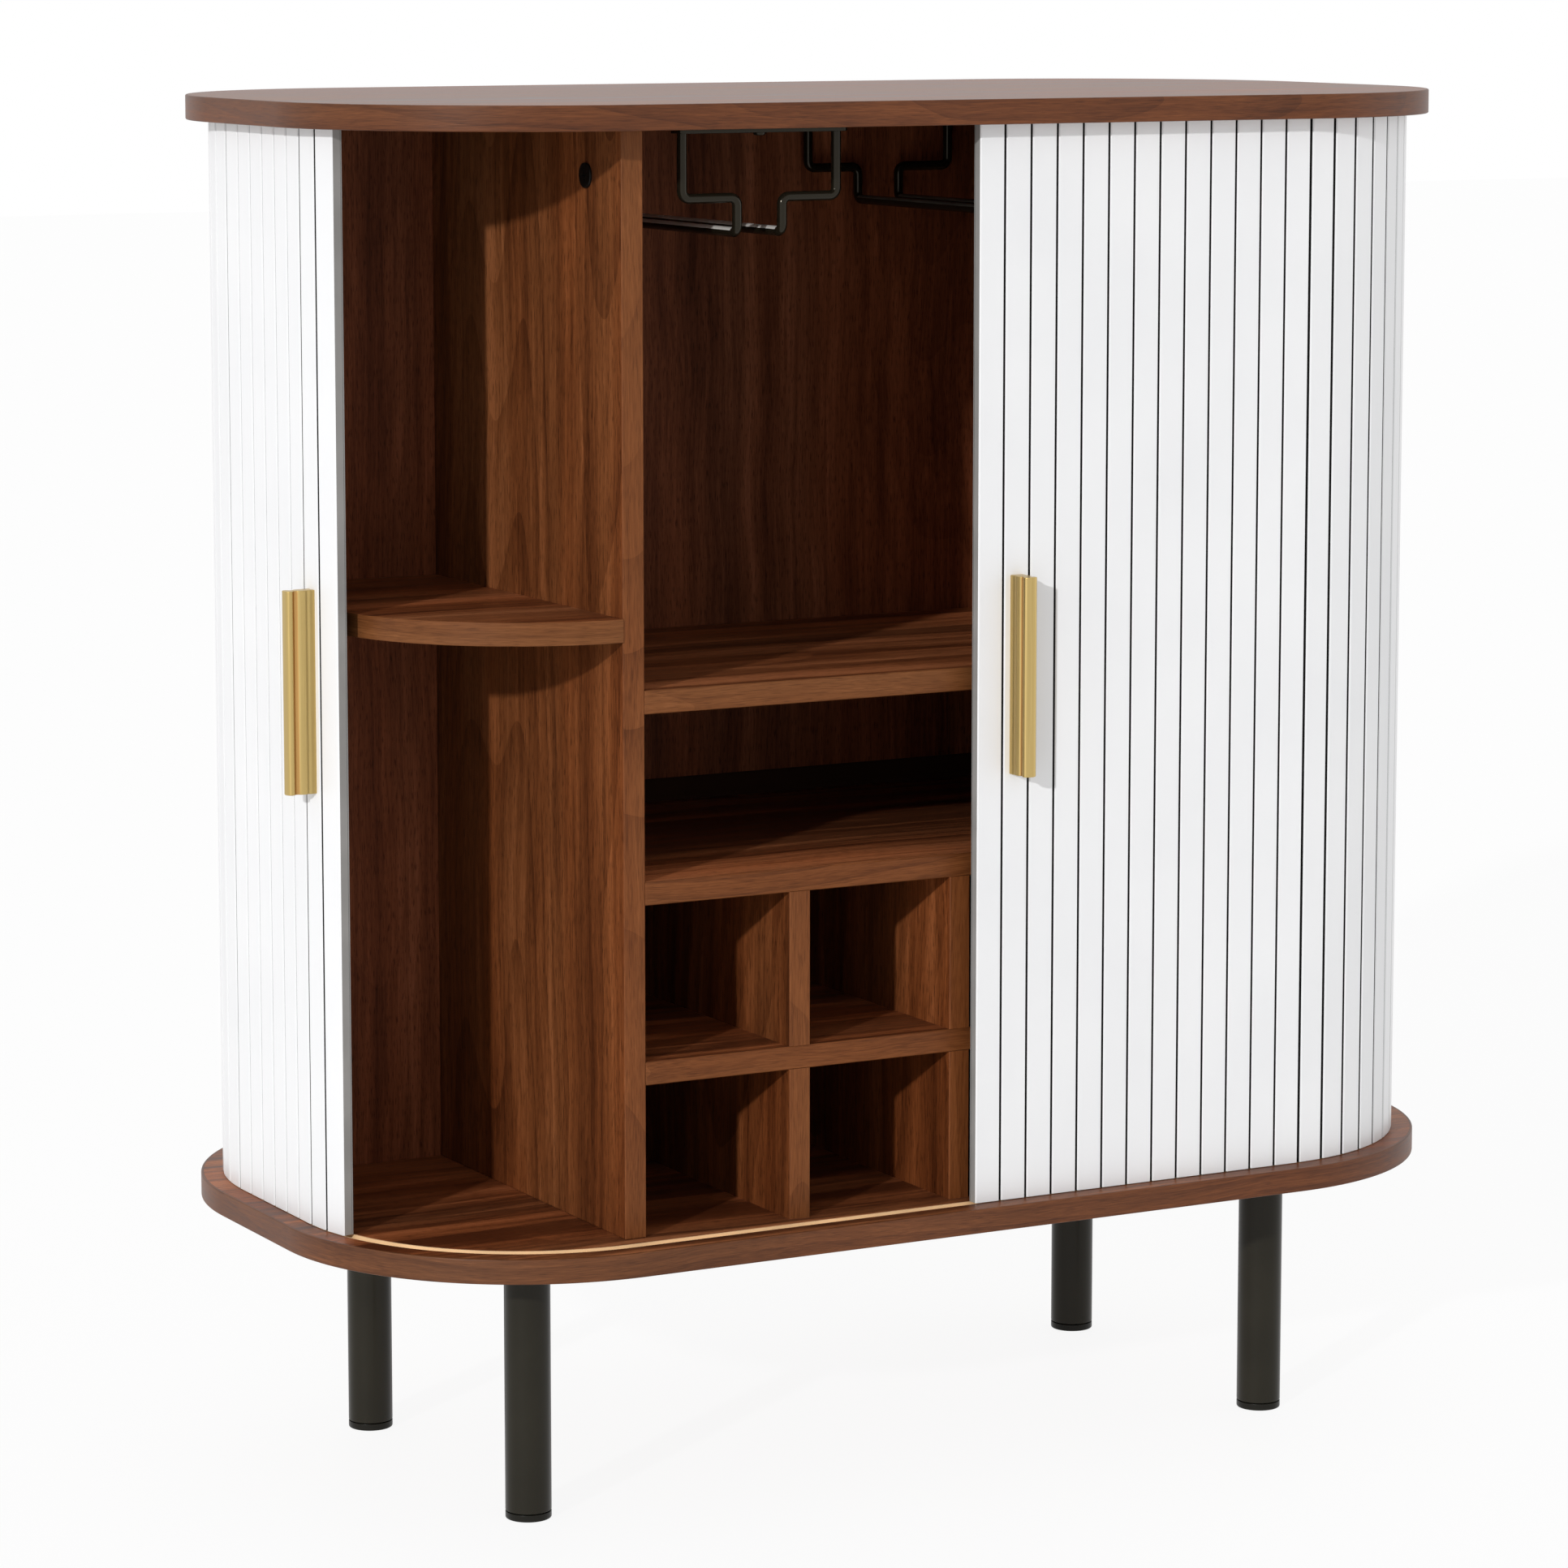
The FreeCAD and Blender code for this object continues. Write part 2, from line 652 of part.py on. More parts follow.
def bent_wire(points):
    """Wire along straight runs joined by bends, swept from its upright first run."""
    route = [points[0]]
    for before, corner, after in zip(points[:-2], points[1:-1], points[2:]):
        route += bend_steps(before, corner, after)
    route.append(points[-1])
    section = []
    for index in range(WIRE_SIDES + 1):
        angle = 2 * math.pi * index / WIRE_SIDES
        section.append(points[0] + point(math.cos(angle), math.sin(angle)) * size("wire_radius"))
    mitred = 1
    return Part.makePolygon(route).makePipeShell([Part.makePolygon(section)], True, False, mitred)


def rack_levels(drop):
    under = evaluate(UNDER_TOP) - size("strip_thickness")
    shoulder = evaluate(UNDER_TOP) - drop
    return under, shoulder, shoulder - size("rack_step")


def make_rack(label, x, drop):
    """Two bent wires, one each side of the gap that holds a glass's stem."""
    under, shoulder, rail = rack_levels(drop)
    front = evaluate(FRONT_OF_BAY + " + rack_front_setback")
    rear = evaluate(BACK_OF_BAY + " - rack_rear_gap - wire_radius")
    wires = []
    for side in (-1, 1):
        outer = x + side * size("rack_half_width")
        inner = x + side * size("rail_half_gap")
        wires.append(bent_wire([point(outer, front, under), point(outer, front, shoulder),
                                point(inner, front, shoulder), point(inner, front, rail),
                                point(inner, rear, rail), point(inner, rear, shoulder),
                                point(outer, rear, shoulder), point(outer, rear, under)]))
    add_shape(label, wires)
    return front, rear


def make_strips(places, ends):
    """Flat strips under the top, in which the wires end."""
    strips = []
    length = 2 * (size("rack_half_width") + size("strip_overhang"))
    width = size("strip_width")
    bottom = evaluate(UNDER_TOP + " - strip_thickness")
    for x in places:
        for y in ends:
            corner = point(x - length / 2, y - width / 2, bottom)
            strips.append(Part.makeBox(length, width, size("strip_thickness"), corner))
    add_shape("rack_strips", strips)


def make_racks():
    left = -size("left_rack_share") * evaluate(BAY_WIDTH)
    right = size("right_rack_share") * evaluate(BAY_WIDTH)
    make_rack("left_glass_rack", left, size("left_rack_drop"))
    ends = make_rack("right_glass_rack", right, size("right_rack_drop"))
    make_strips((left, right), ends)


make_racks()


# Connector caps on the outer faces of the dividers
def make_connector_caps():
    caps = []
    face = evaluate("width / 2 - corner_radius - divider_gap")
    outer = face + size("connector_height")
    y = evaluate(FRONT_OF_BAY + " + connector_setback")
    z = evaluate(UNDER_TOP + " - connector_drop")
    for side in (-1, 1):
        cap = Part.makeCylinder(size("connector_radius"), size("connector_height"),
                                point(side * face, y, z), point(side, 0, 0))
        rim = [edge for edge in cap.Edges if abs(edge.CenterOfMass.x) > outer - SAME_PLACE]
        caps.append(cap.makeChamfer(size("connector_chamfer"), rim))
    add_shape("connector_caps", caps)


make_connector_caps()


def check_and_write():
    """Stop on a failed object, then write one file for each sub-part."""
    document.recompute()
    for item in document.Objects:
        if "Invalid" in item.State or "Error" in item.State:
            raise RuntimeError(item.Label + " failed: " + str(item.State))
    os.makedirs("parts", exist_ok=True)
    for item in parts:
        shape = item.Shape
        if shape.isNull() or not shape.isValid():
            raise RuntimeError(item.Label + " has no valid shape")
        shape.exportStep("parts/" + item.Label + ".step")
    print(len(parts), "sub-parts written")


check_and_write()
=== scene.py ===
import math

import bpy
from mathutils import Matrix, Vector


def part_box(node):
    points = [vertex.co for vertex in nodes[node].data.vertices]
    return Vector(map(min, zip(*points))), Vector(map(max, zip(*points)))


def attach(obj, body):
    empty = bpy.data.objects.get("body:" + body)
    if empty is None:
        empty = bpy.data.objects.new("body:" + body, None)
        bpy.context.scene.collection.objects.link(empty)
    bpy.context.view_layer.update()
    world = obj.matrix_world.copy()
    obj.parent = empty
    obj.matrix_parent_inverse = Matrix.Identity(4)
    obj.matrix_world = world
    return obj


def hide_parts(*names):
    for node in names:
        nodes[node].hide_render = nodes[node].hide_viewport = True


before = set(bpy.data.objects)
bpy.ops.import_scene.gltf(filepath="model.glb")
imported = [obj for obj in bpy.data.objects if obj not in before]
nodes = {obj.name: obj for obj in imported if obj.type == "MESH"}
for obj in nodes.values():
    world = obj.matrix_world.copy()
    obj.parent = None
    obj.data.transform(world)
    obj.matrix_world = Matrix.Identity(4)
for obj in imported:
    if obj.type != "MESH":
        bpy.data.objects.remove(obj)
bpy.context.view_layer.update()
print("frame loaded:", len(nodes), "nodes")

# plan of the rounded ends, in metres: half straight front, half straight side, outer radius
plan = {"straight": 0.231, "side": 0.0523, "radius": 0.159}
level = {"base": 0.165, "baseTop": 0.180, "underTop": 0.834, "top": 0.849}
weld = 0.000002    # points closer than this are merged
hair = 0.00002     # places closer than this count as the same
margin = 0.001     # places further apart than this are clear of each other
flat = 0.999       # a face lies flat where its normal is past this
facing = 0.5       # and looks one way where its normal is past this


def clearSelection():
    if bpy.context.object and bpy.context.object.mode != "OBJECT":
        bpy.ops.object.mode_set(mode="OBJECT")
    bpy.ops.object.select_all(action="DESELECT")


def selectOnly(pieces):
    # the first one becomes the active piece
    clearSelection()
    for piece in pieces:
        piece.select_set(True)
    bpy.context.view_layer.objects.active = pieces[0]


def startEdit():
    # edit mode with every point of the active piece selected
    bpy.ops.object.mode_set(mode="EDIT")
    bpy.ops.mesh.select_mode(type="VERT")
    bpy.ops.mesh.select_all(action="SELECT")


def endEdit():
    bpy.ops.object.mode_set(mode="OBJECT")


def dropPicked(mesh):
    for part in (mesh.vertices, mesh.edges, mesh.polygons):
        for item in part:
            item.select = False


def pickEdges(piece, test):
    # edit mode with the edges whose two end points pass the test
    bpy.ops.object.mode_set(mode="OBJECT")
    dropPicked(piece.data)
    points = [v.co for v in piece.data.vertices]
    for e in piece.data.edges:
        e.select = test(points[e.vertices[0]], points[e.vertices[1]])
    bpy.context.tool_settings.mesh_select_mode = (False, True, False)
    bpy.ops.object.mode_set(mode="EDIT")


def pickFaces(piece, test):
    # edit mode with the faces whose centre and normal pass the test
    bpy.ops.object.mode_set(mode="OBJECT")
    dropPicked(piece.data)
    for p in piece.data.polygons:
        p.select = test(p.center, p.normal)
    bpy.context.tool_settings.mesh_select_mode = (False, False, True)
    bpy.ops.object.mode_set(mode="EDIT")


def bevelPicked(width, segments):
    bpy.ops.mesh.bevel(offset=width, segments=segments, affect="EDGES", clamp_overlap=False)


def extrudePicked(move):
    bpy.ops.mesh.extrude_region_move(TRANSFORM_OT_translate={"value": move})


def coat(piece, material):
    # one material all over
    piece.data.materials.clear()
    piece.data.materials.append(material)


def paintFaces(piece, material, test):
    # another material on the faces whose centre and normal pass the test
    names = [m.name for m in piece.data.materials]
    if material.name not in names:
        piece.data.materials.append(material)
        names.append(material.name)
    index = names.index(material.name)
    for p in piece.data.polygons:
        if test(p.center, p.normal):
            p.material_index = index


def newBlock(name, low, high):
    clearSelection()
    low, high = Vector(low), Vector(high)
    bpy.ops.mesh.primitive_cube_add(size=1, location=(low + high) / 2, scale=high - low)
    piece = bpy.context.object
    piece.name = name
    bpy.ops.object.transform_apply(location=True, rotation=True, scale=True)
    return piece


def newRound(radius, low, high, steps):
    # upright round bar on the origin's axis
    clearSelection()
    bpy.ops.mesh.primitive_cylinder_add(vertices=steps, radius=radius, depth=high - low,
                                        location=(0, 0, (low + high) / 2))
    bpy.ops.object.transform_apply(location=True, rotation=True, scale=True)
    return bpy.context.object


def copyPiece(piece, name, place):
    selectOnly([piece])
    bpy.ops.object.duplicate(linked=False)
    copied = bpy.context.object
    copied.name = name
    copied.location = place
    return copied


def joinPieces(pieces, name):
    selectOnly(pieces)
    bpy.ops.object.join()
    joined = bpy.context.object
    joined.name = name
    return joined


def closeUp(piece, body, angle=30):
    # last steps of every piece: place in its mesh, smooth, on its body
    selectOnly([piece])
    bpy.ops.object.transform_apply(location=True, rotation=True, scale=True)
    bpy.ops.object.mode_set(mode="EDIT")
    bpy.ops.mesh.select_all(action="SELECT")
    bpy.ops.mesh.remove_doubles(threshold=weld)
    bpy.ops.mesh.normals_make_consistent(inside=False)
    endEdit()
    bpy.ops.object.shade_smooth_by_angle(angle=math.radians(angle))
    bpy.ops.object.modifier_add(type="WEIGHTED_NORMAL")
    piece.modifiers[-1].keep_sharp = True
    bpy.ops.object.modifier_apply(modifier=piece.modifiers[-1].name)
    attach(piece, body)


def insideEdge(x, y):
    # how far a point lies inside the outline of the top and base, once past the straight parts
    across = max(abs(x) - plan["straight"], 0)
    deep = max(abs(y) - plan["side"], 0)
    return plan["radius"] - math.hypot(across, deep)


def runAlong(x, y, radius):
    # distance round the outline from the middle of the back, clockwise seen from above
    a, b = plan["straight"], plan["side"]
    arc = radius * math.pi / 2
    if y >= b and abs(x) <= a:
        return x if x >= 0 else x + 4 * a + 4 * b + 4 * arc
    if x > a and y > b:
        return a + radius * math.atan2(x - a, y - b)
    if x > a and y >= -b:
        return a + arc + (b - y)
    if x > a:
        return a + arc + 2 * b + radius * math.atan2(-b - y, x - a)
    if y < -b and x >= -a:
        return a + 2 * arc + 2 * b + (a - x)
    if y < -b:
        return 3 * a + 2 * arc + 2 * b + radius * math.atan2(-a - x, -b - y)
    if y <= b:
        return 3 * a + 3 * arc + 2 * b + (y + b)
    return 3 * a + 3 * arc + 4 * b + radius * math.atan2(y - b, -a - x)


def wrapMap(piece, radius):
    # UV in metres: round the outline and up, for the grain of the edge band
    layers = piece.data.uv_layers
    uv = layers[0] if layers else layers.new(name="wrap")
    whole = 4 * plan["straight"] + 4 * plan["side"] + 2 * math.pi * radius
    for p in piece.data.polygons:
        middle = runAlong(p.center.x, p.center.y, radius)
        for k in p.loop_indices:
            place = piece.data.vertices[piece.data.loops[k].vertex_index].co
            run = runAlong(place.x, place.y, radius)
            if run - middle > whole / 2:
                run -= whole
            if middle - run > whole / 2:
                run += whole
            uv.data[k].uv = (run, place.z)


def newMaterial(name):
    material = bpy.data.materials.new(name)
    material.use_nodes = True
    tree = material.node_tree
    return material, tree, tree.nodes["Principled BSDF"]


def addNode(tree, kind, inputs=(), **settings):
    # an input takes either a number or another node's output
    made = tree.nodes.new(kind)
    for key, value in settings.items():
        setattr(made, key, value)
    for key, value in dict(inputs).items():
        if isinstance(value, bpy.types.NodeSocket):
            tree.links.new(value, made.inputs[key])
        else:
            made.inputs[key].default_value = value
    return made


def addMath(tree, operation, a, b):
    return addNode(tree, "ShaderNodeMath", {0: a, 1: b}, operation=operation).outputs[0]


def addScaled(tree, field, factor, base):
    # base + factor * field
    return addMath(tree, "ADD", addMath(tree, "MULTIPLY", field, factor), base)


def addNoise(tree, vector, scale, detail=2.0, roughness=0.5, distortion=0.0, output="Fac"):
    made = addNode(tree, "ShaderNodeTexNoise", {"Vector": vector, "Scale": scale, "Detail": detail,
                                                "Roughness": roughness, "Distortion": distortion})
    return made.outputs[output]


def addRamp(tree, value, stops):
    # stops: place on the ramp and colour
    made = addNode(tree, "ShaderNodeValToRGB", {"Fac": value})
    points = made.color_ramp.elements
    while len(points) < len(stops):
        points.new(0.5)
    for point, (at, colour) in zip(points, stops):
        point.position = at
        point.color = (*colour, 1)
    return made.outputs["Color"]


def addShade(tree, colour, shade, depth):
    # the colour times the shade, as far as the depth says
    made = addNode(tree, "ShaderNodeMix", data_type="RGBA", blend_type="MULTIPLY")
    made.inputs[0].default_value = depth
    tree.links.new(colour, made.inputs[6])
    tree.links.new(shade, made.inputs[7])
    return made.outputs[2]


def addBump(tree, shader, height, strength, distance):
    made = addNode(tree, "ShaderNodeBump", {"Height": height, "Strength": strength,
                                            "Distance": distance})
    tree.links.new(made.outputs["Normal"], shader.inputs["Normal"])


walnut = {
    "dark": (0.060, 0.0175, 0.0058),
    "brown": (0.122, 0.0375, 0.0117),
    "warm": (0.186, 0.0600, 0.0186),
    "light": (0.300, 0.1060, 0.0370),
    "places": (0.12, 0.38, 0.60, 0.90),    # of the four browns on the ramp
    "middle": 0.53,    # lifts the whole figure towards the light brown
    "rough": 0.36,
    "roughSpread": 0.12,    # the light streaks are rougher
    "gloss": 0.14,
    # layers of the figure: size per metre across the grain, share of it along the grain, weight
    "layers": ((8.0, 0.09, 0.80), (30.0, 0.040, 0.95), (95.0, 0.026, 0.70),
               (320.0, 0.024, 0.52), (1000.0, 0.030, 0.50)),
    "layerNoise": (2.0, 0.55),    # detail, roughness
    "sway": ((3.0, 0.030), (11.0, 0.006)),    # size and reach of the streaks' wandering
    "rings": (6.0, 0.10, 30.0, 0.70),    # size, share along, number of rings, depth
    "ringNoise": (1.0, 0.4),
    "ringEdge": 2.5,    # a higher number makes the dark side of each ring narrower
    "ringPatch": 5.0,    # size of the places where the rings show more
    "ringWeight": 0.5,
    "drift": (16.0, 0.06),    # size and share along of the redder and yellower places
    "driftTones": ((0.38, (1.06, 0.92, 0.82)), (0.68, (0.98, 1.03, 1.08))),
    "wisps": (20.0, 0.13, 0.75),    # dark smoky marks: size, share along, depth
    "wispNoise": (3.0, 0.6, 0.5),    # detail, roughness, distortion
    "wispTones": ((0.60, (1, 1, 1)), (0.76, (0.42, 0.36, 0.32))),
    "pores": (1500.0, 0.090, 0.75),    # size, share along, depth
    "poreTones": ((0.33, (0.34, 0.31, 0.29)), (0.44, (1, 1, 1))),
    "poreBump": (0.25, 0.0002),    # strength, distance
}


def tinted(look, red, green, blue):
    # the same look with its four browns a little lighter or warmer
    tones = {key: (look[key][0] * red, look[key][1] * green, look[key][2] * blue)
             for key in ("dark", "brown", "warm", "light")}
    return dict(look, **tones)


topWood = dict(walnut, gloss=0.50)
# the back panel's walnut is lighter and bluer than the rest: painted light lifting it out of the
# shade it stands in
backWood = dict(tinted(walnut, 1.18, 1.20, 1.66), wisps=(20.0, 0.13, 0.40),
                rings=(6.0, 0.10, 30.0, 0.25))
# the flat boards' walnut is lighter and yellower: painted light for their tops
flatWood = dict(tinted(walnut, 1.32, 1.36, 1.56),
                layers=((9.0, 0.09, 1.00), (34.0, 0.032, 1.45), (100.0, 0.022, 1.20),
                        (320.0, 0.022, 0.70), (1000.0, 0.030, 0.50)))
# edge bands: finer streaks and few pores
bandWood = dict(walnut, dark=(0.088, 0.0290, 0.0090), brown=(0.142, 0.0490, 0.0152),
                warm=(0.186, 0.0670, 0.0215), light=(0.262, 0.1010, 0.0360), gloss=0.12,
                layers=((22.0, 0.05, 0.35), (150.0, 0.030, 0.30), (520.0, 0.025, 0.42),
                        (1500.0, 0.040, 0.60)),
                wisps=(20.0, 0.16, 0.20), pores=(1500.0, 0.060, 0.35))
# rims of the top and base, darker and glossier
rimWood = dict(bandWood, dark=(0.058, 0.0185, 0.0060), brown=(0.098, 0.0330, 0.0108),
               warm=(0.134, 0.0470, 0.0156), light=(0.200, 0.0740, 0.0260), gloss=0.24,
               layers=((22.0, 0.05, 0.45), (150.0, 0.030, 0.45), (520.0, 0.025, 0.50),
                       (1500.0, 0.040, 0.60)))


def walnutMaterial(name, grain, shift, look, fromMap=False):
    # walnut print: layers of streaks drawn out along the grain, rings, wisps, short dark pores
    material, tree, shader = newMaterial(name)
    source = addNode(tree, "ShaderNodeTexCoord").outputs["UV" if fromMap else "Object"]
    moved = addNode(tree, "ShaderNodeMapping", {"Vector": source, "Location": shift}).outputs[0]
    bent = moved
    for size, reach in look["sway"]:
        sway = addNoise(tree, moved, size, output="Color")
        sway = addNode(tree, "ShaderNodeVectorMath", {0: sway, "Scale": reach}, operation="SCALE")
        bent = addNode(tree, "ShaderNodeVectorMath", {0: bent, 1: sway.outputs[0]},
                       operation="ADD").outputs[0]

    def drawnOut(vector, share):
        scale = [1.0, 1.0, 1.0]
        scale["xyz".index(grain)] = share
        return addNode(tree, "ShaderNodeMapping", {"Vector": vector, "Scale": scale}).outputs[0]

    tone = None
    for size, share, weight in look["layers"]:
        layer = addNoise(tree, drawnOut(bent, share), size, *look["layerNoise"])
        layer = addMath(tree, "MULTIPLY", addMath(tree, "SUBTRACT", layer, 0.5), weight)
        tone = layer if tone is None else addMath(tree, "ADD", tone, layer)

    size, share, count, depth = look["rings"]
    rings = addNoise(tree, drawnOut(bent, share), size, *look["ringNoise"])
    rings = addMath(tree, "FRACT", addMath(tree, "MULTIPLY", rings, count), 0.0)
    rings = addMath(tree, "POWER", rings, look["ringEdge"])
    patches = addNoise(tree, bent, look["ringPatch"], 1.0)
    rings = addMath(tree, "MULTIPLY", rings, addMath(tree, "MULTIPLY", patches, depth))
    rings = addMath(tree, "MULTIPLY", rings, look["ringWeight"])
    tone = addMath(tree, "ADD", addMath(tree, "SUBTRACT", tone, rings), look["middle"])
    browns = (look["dark"], look["brown"], look["warm"], look["light"])
    colour = addRamp(tree, tone, tuple(zip(look["places"], browns)))

    size, share = look["drift"]
    drift = addNoise(tree, drawnOut(bent, share), size, 1.0)
    colour = addShade(tree, colour, addRamp(tree, drift, look["driftTones"]), 1.0)
    size, share, depth = look["wisps"]
    wisps = addNoise(tree, drawnOut(bent, share), size, *look["wispNoise"])
    colour = addShade(tree, colour, addRamp(tree, wisps, look["wispTones"]), depth)
    size, share, depth = look["pores"]
    pores = addNoise(tree, drawnOut(moved, share), size, 1.0)
    colour = addShade(tree, colour, addRamp(tree, pores, look["poreTones"]), depth)
    tree.links.new(colour, shader.inputs["Base Color"])

    rough = addScaled(tree, tone, look["roughSpread"], look["rough"])
    tree.links.new(rough, shader.inputs["Roughness"])
    shader.inputs["Specular IOR Level"].default_value = look["gloss"]
    addBump(tree, shader, pores, *look["poreBump"])
    return material


lacquer = {"tones": ((0.3, (0.800, 0.802, 0.812)), (0.7, (0.828, 0.829, 0.836))),
           "cloud": 14.0, "peel": 900.0, "bump": (0.05, 0.0001),
           "rough": 0.34, "roughSpread": 0.10}


def slatMaterial():
    # white lacquer, a little cloudy, with a faint orange peel
    material, tree, shader = newMaterial("whiteLacquer")
    place = addNode(tree, "ShaderNodeTexCoord").outputs["Object"]
    cloud = addNoise(tree, place, lacquer["cloud"], 3.0)
    peel = addNoise(tree, place, lacquer["peel"])
    tree.links.new(addRamp(tree, cloud, lacquer["tones"]), shader.inputs["Base Color"])
    rough = addScaled(tree, cloud, lacquer["roughSpread"], lacquer["rough"])
    tree.links.new(rough, shader.inputs["Roughness"])
    addBump(tree, shader, peel, *lacquer["bump"])
    return material


canvas = {"tones": ((0.1, (0.006, 0.006, 0.006)), (0.7, (0.022, 0.021, 0.020))),
          "threads": (320.0, 0.6), "fluff": 1500.0, "rough": 0.92, "bump": (0.4, 0.0003)}


def canvasMaterial():
    # black woven canvas
    material, tree, shader = newMaterial("doorCanvas")
    place = addNode(tree, "ShaderNodeTexCoord").outputs["Object"]
    scale, distortion = canvas["threads"]
    threads = addNode(tree, "ShaderNodeTexWave",
                      {"Vector": place, "Scale": scale, "Distortion": distortion},
                      bands_direction="Z").outputs["Fac"]
    weave = addMath(tree, "MULTIPLY", threads, addNoise(tree, place, canvas["fluff"]))
    tree.links.new(addRamp(tree, weave, canvas["tones"]), shader.inputs["Base Color"])
    shader.inputs["Roughness"].default_value = canvas["rough"]
    addBump(tree, shader, weave, *canvas["bump"])
    return material


brushing = {"size": 2600.0, "along": 0.006, "noise": (3.0, 0.7), "places": (0.25, 0.75),
            "patch": 40.0, "rough": 0.25, "brushRough": 0.14, "patchRough": 0.06,
            "bump": (0.10, 0.0001)}


def goldMaterial(name, dark, light):
    # metal brushed along the pull
    material, tree, shader = newMaterial(name)
    place = addNode(tree, "ShaderNodeTexCoord").outputs["Object"]
    drawn = addNode(tree, "ShaderNodeMapping",
                    {"Vector": place, "Scale": (1, 1, brushing["along"])}).outputs[0]
    brush = addNoise(tree, drawn, brushing["size"], *brushing["noise"])
    patch = addNoise(tree, place, brushing["patch"])
    colour = addRamp(tree, brush, tuple(zip(brushing["places"], (dark, light))))
    tree.links.new(colour, shader.inputs["Base Color"])
    shader.inputs["Metallic"].default_value = 1.0
    rough = addScaled(tree, brush, brushing["brushRough"], brushing["rough"])
    rough = addMath(tree, "ADD", rough,
                    addMath(tree, "MULTIPLY", patch, brushing["patchRough"]))
    tree.links.new(rough, shader.inputs["Roughness"])
    addBump(tree, shader, brush, *brushing["bump"])
    return material


paint = {"cloud": 25.0, "shades": ((0.3, 0.88), (0.7, 1.12)), "roughSpread": 0.10,
         "bump": 0.0001}


def paintMaterial(name, colour, roughness, gloss=0.5, grain=(1400.0, 0.10), sheen=(1, 1, 1)):
    # powder paint or moulded plastic: a fine grain (size, strength) and uneven gloss
    material, tree, shader = newMaterial(name)
    place = addNode(tree, "ShaderNodeTexCoord").outputs["Object"]
    size, strength = grain
    bumps = addNoise(tree, place, size)
    cloud = addNoise(tree, place, paint["cloud"], 3.0)
    tones = tuple((at, tuple(c * shade for c in colour)) for at, shade in paint["shades"])
    tree.links.new(addRamp(tree, cloud, tones), shader.inputs["Base Color"])
    rough = addScaled(tree, cloud, paint["roughSpread"], roughness - paint["roughSpread"] / 2)
    tree.links.new(rough, shader.inputs["Roughness"])
    shader.inputs["Specular IOR Level"].default_value = gloss
    shader.inputs["Specular Tint"].default_value = (*sheen, 1)
    addBump(tree, shader, bumps, strength, paint["bump"])
    return material


brushedGold = goldMaterial("brushedGold", (0.47, 0.335, 0.125), (0.60, 0.440, 0.175))
# painted shade and reflection: a darker, more orange gold for the hollow of the pulls
hollowShadeGold = goldMaterial("hollowShadeGold", (0.44, 0.245, 0.080), (0.58, 0.330, 0.115))
whiteLacquer = slatMaterial()
doorCanvas = canvasMaterial()
blackWire = paintMaterial("blackWirePaint", (0.0095, 0.0080, 0.0050), 0.18, 0.26,
                          sheen=(1.0, 0.90, 0.74))
# painted highlights for the rails' tops: light grey on the left rack, dim grey on the right
railHighlight = paintMaterial("railHighlightPaint", (0.640, 0.625, 0.590), 0.26, 0.60)
dimRailHighlight = paintMaterial("dimRailHighlightPaint", (0.120, 0.115, 0.100), 0.26)
legPaint = paintMaterial("legPaint", (0.0190, 0.0165, 0.0105), 0.30, 0.17, (1800.0, 0.06))
footPlastic = paintMaterial("footPlastic", (0.012, 0.011, 0.008), 0.34, 0.15, (2200.0, 0.10))
slidePlastic = paintMaterial("slidePlastic", (0.86, 0.60, 0.34), 0.42, grain=(1500.0, 0.06))
capPaint = paintMaterial("capPaint", (0.006, 0.005, 0.004), 0.34, 0.18)
glueLine = paintMaterial("glueLine", (0.030, 0.014, 0.007), 0.70)
# dark paint for the slot's back wall: painted shade
recessShadePaint = paintMaterial("recessShadePaint", (0.040, 0.018, 0.010), 0.80, 0.05)
# grey for the doors' end sides: painted shade
endShadeGrey = paintMaterial("endShadeGrey", (0.300, 0.293, 0.283), 0.50, 0.25)
print("materials ready")

# flat boards: way of the grain, place in the figure, look
boards = {
    "left_divider": ("z", (0.10, 0.30, 0.0), walnut),
    "right_divider": ("z", (0.72, 0.11, 0.3), walnut),
    "inner_back_panel": ("z", (1.30, 0.50, 0.2), backWood),
    "upper_shelf": ("x", (0.0, 0.40, 1.1), flatWood),
    "lower_shelf": ("x", (0.5, 0.90, 2.3), flatWood),
    "bottle_shelf": ("x", (0.9, 1.40, 0.7), flatWood),
    "upper_bottle_dividers": ("z", (2.1, 0.15, 0.9), walnut),
    "lower_bottle_dividers": ("z", (3.2, 0.75, 0.4), walnut),
}
edgeWoods = {"x": walnutMaterial("edgeWoodAlong", "x", (0.3, 0.0, 0.8), bandWood),
             "z": walnutMaterial("edgeWoodUp", "z", (0.6, 0.2, 0.0), bandWood)}
for name, (grain, shift, look) in boards.items():
    coat(nodes[name], walnutMaterial(name + "_walnut", grain, shift, look))
    if name != "inner_back_panel":
        # faces that look forward carry the edge band
        paintFaces(nodes[name], edgeWoods[grain], lambda c, n: n.y < -facing)

# painted shade: the back wall of the slot in the back panel gets a dark paint, darker than the
# walnut
recess = {"low": 0.394, "high": 0.410, "halfWidth": 0.2144, "front": 0.0805, "rear": 0.0915}
paintFaces(nodes["inner_back_panel"], recessShadePaint,
           lambda c, n: recess["low"] < c.z < recess["high"] and abs(c.x) < recess["halfWidth"]
           and recess["front"] < c.y < recess["rear"])

# a slat's faces are told apart by their normal's share outwards from the case
slats = {"segments": 16, "canvas": 0.0193, "upright": 0.3, "side": 0.35,
         "end": 0.006,    # faces this close to the outermost one belong to the door's end
         "softLeast": 0.4, "softMost": 0.9}


def outwards(place):
    # level direction from the rounded ends' centre lines to a point of the doors' track
    line = Vector((math.copysign(max(abs(place.x) - plan["straight"], 0), place.x),
                   math.copysign(max(abs(place.y) - plan["side"], 0), place.y)))
    return line.normalized()


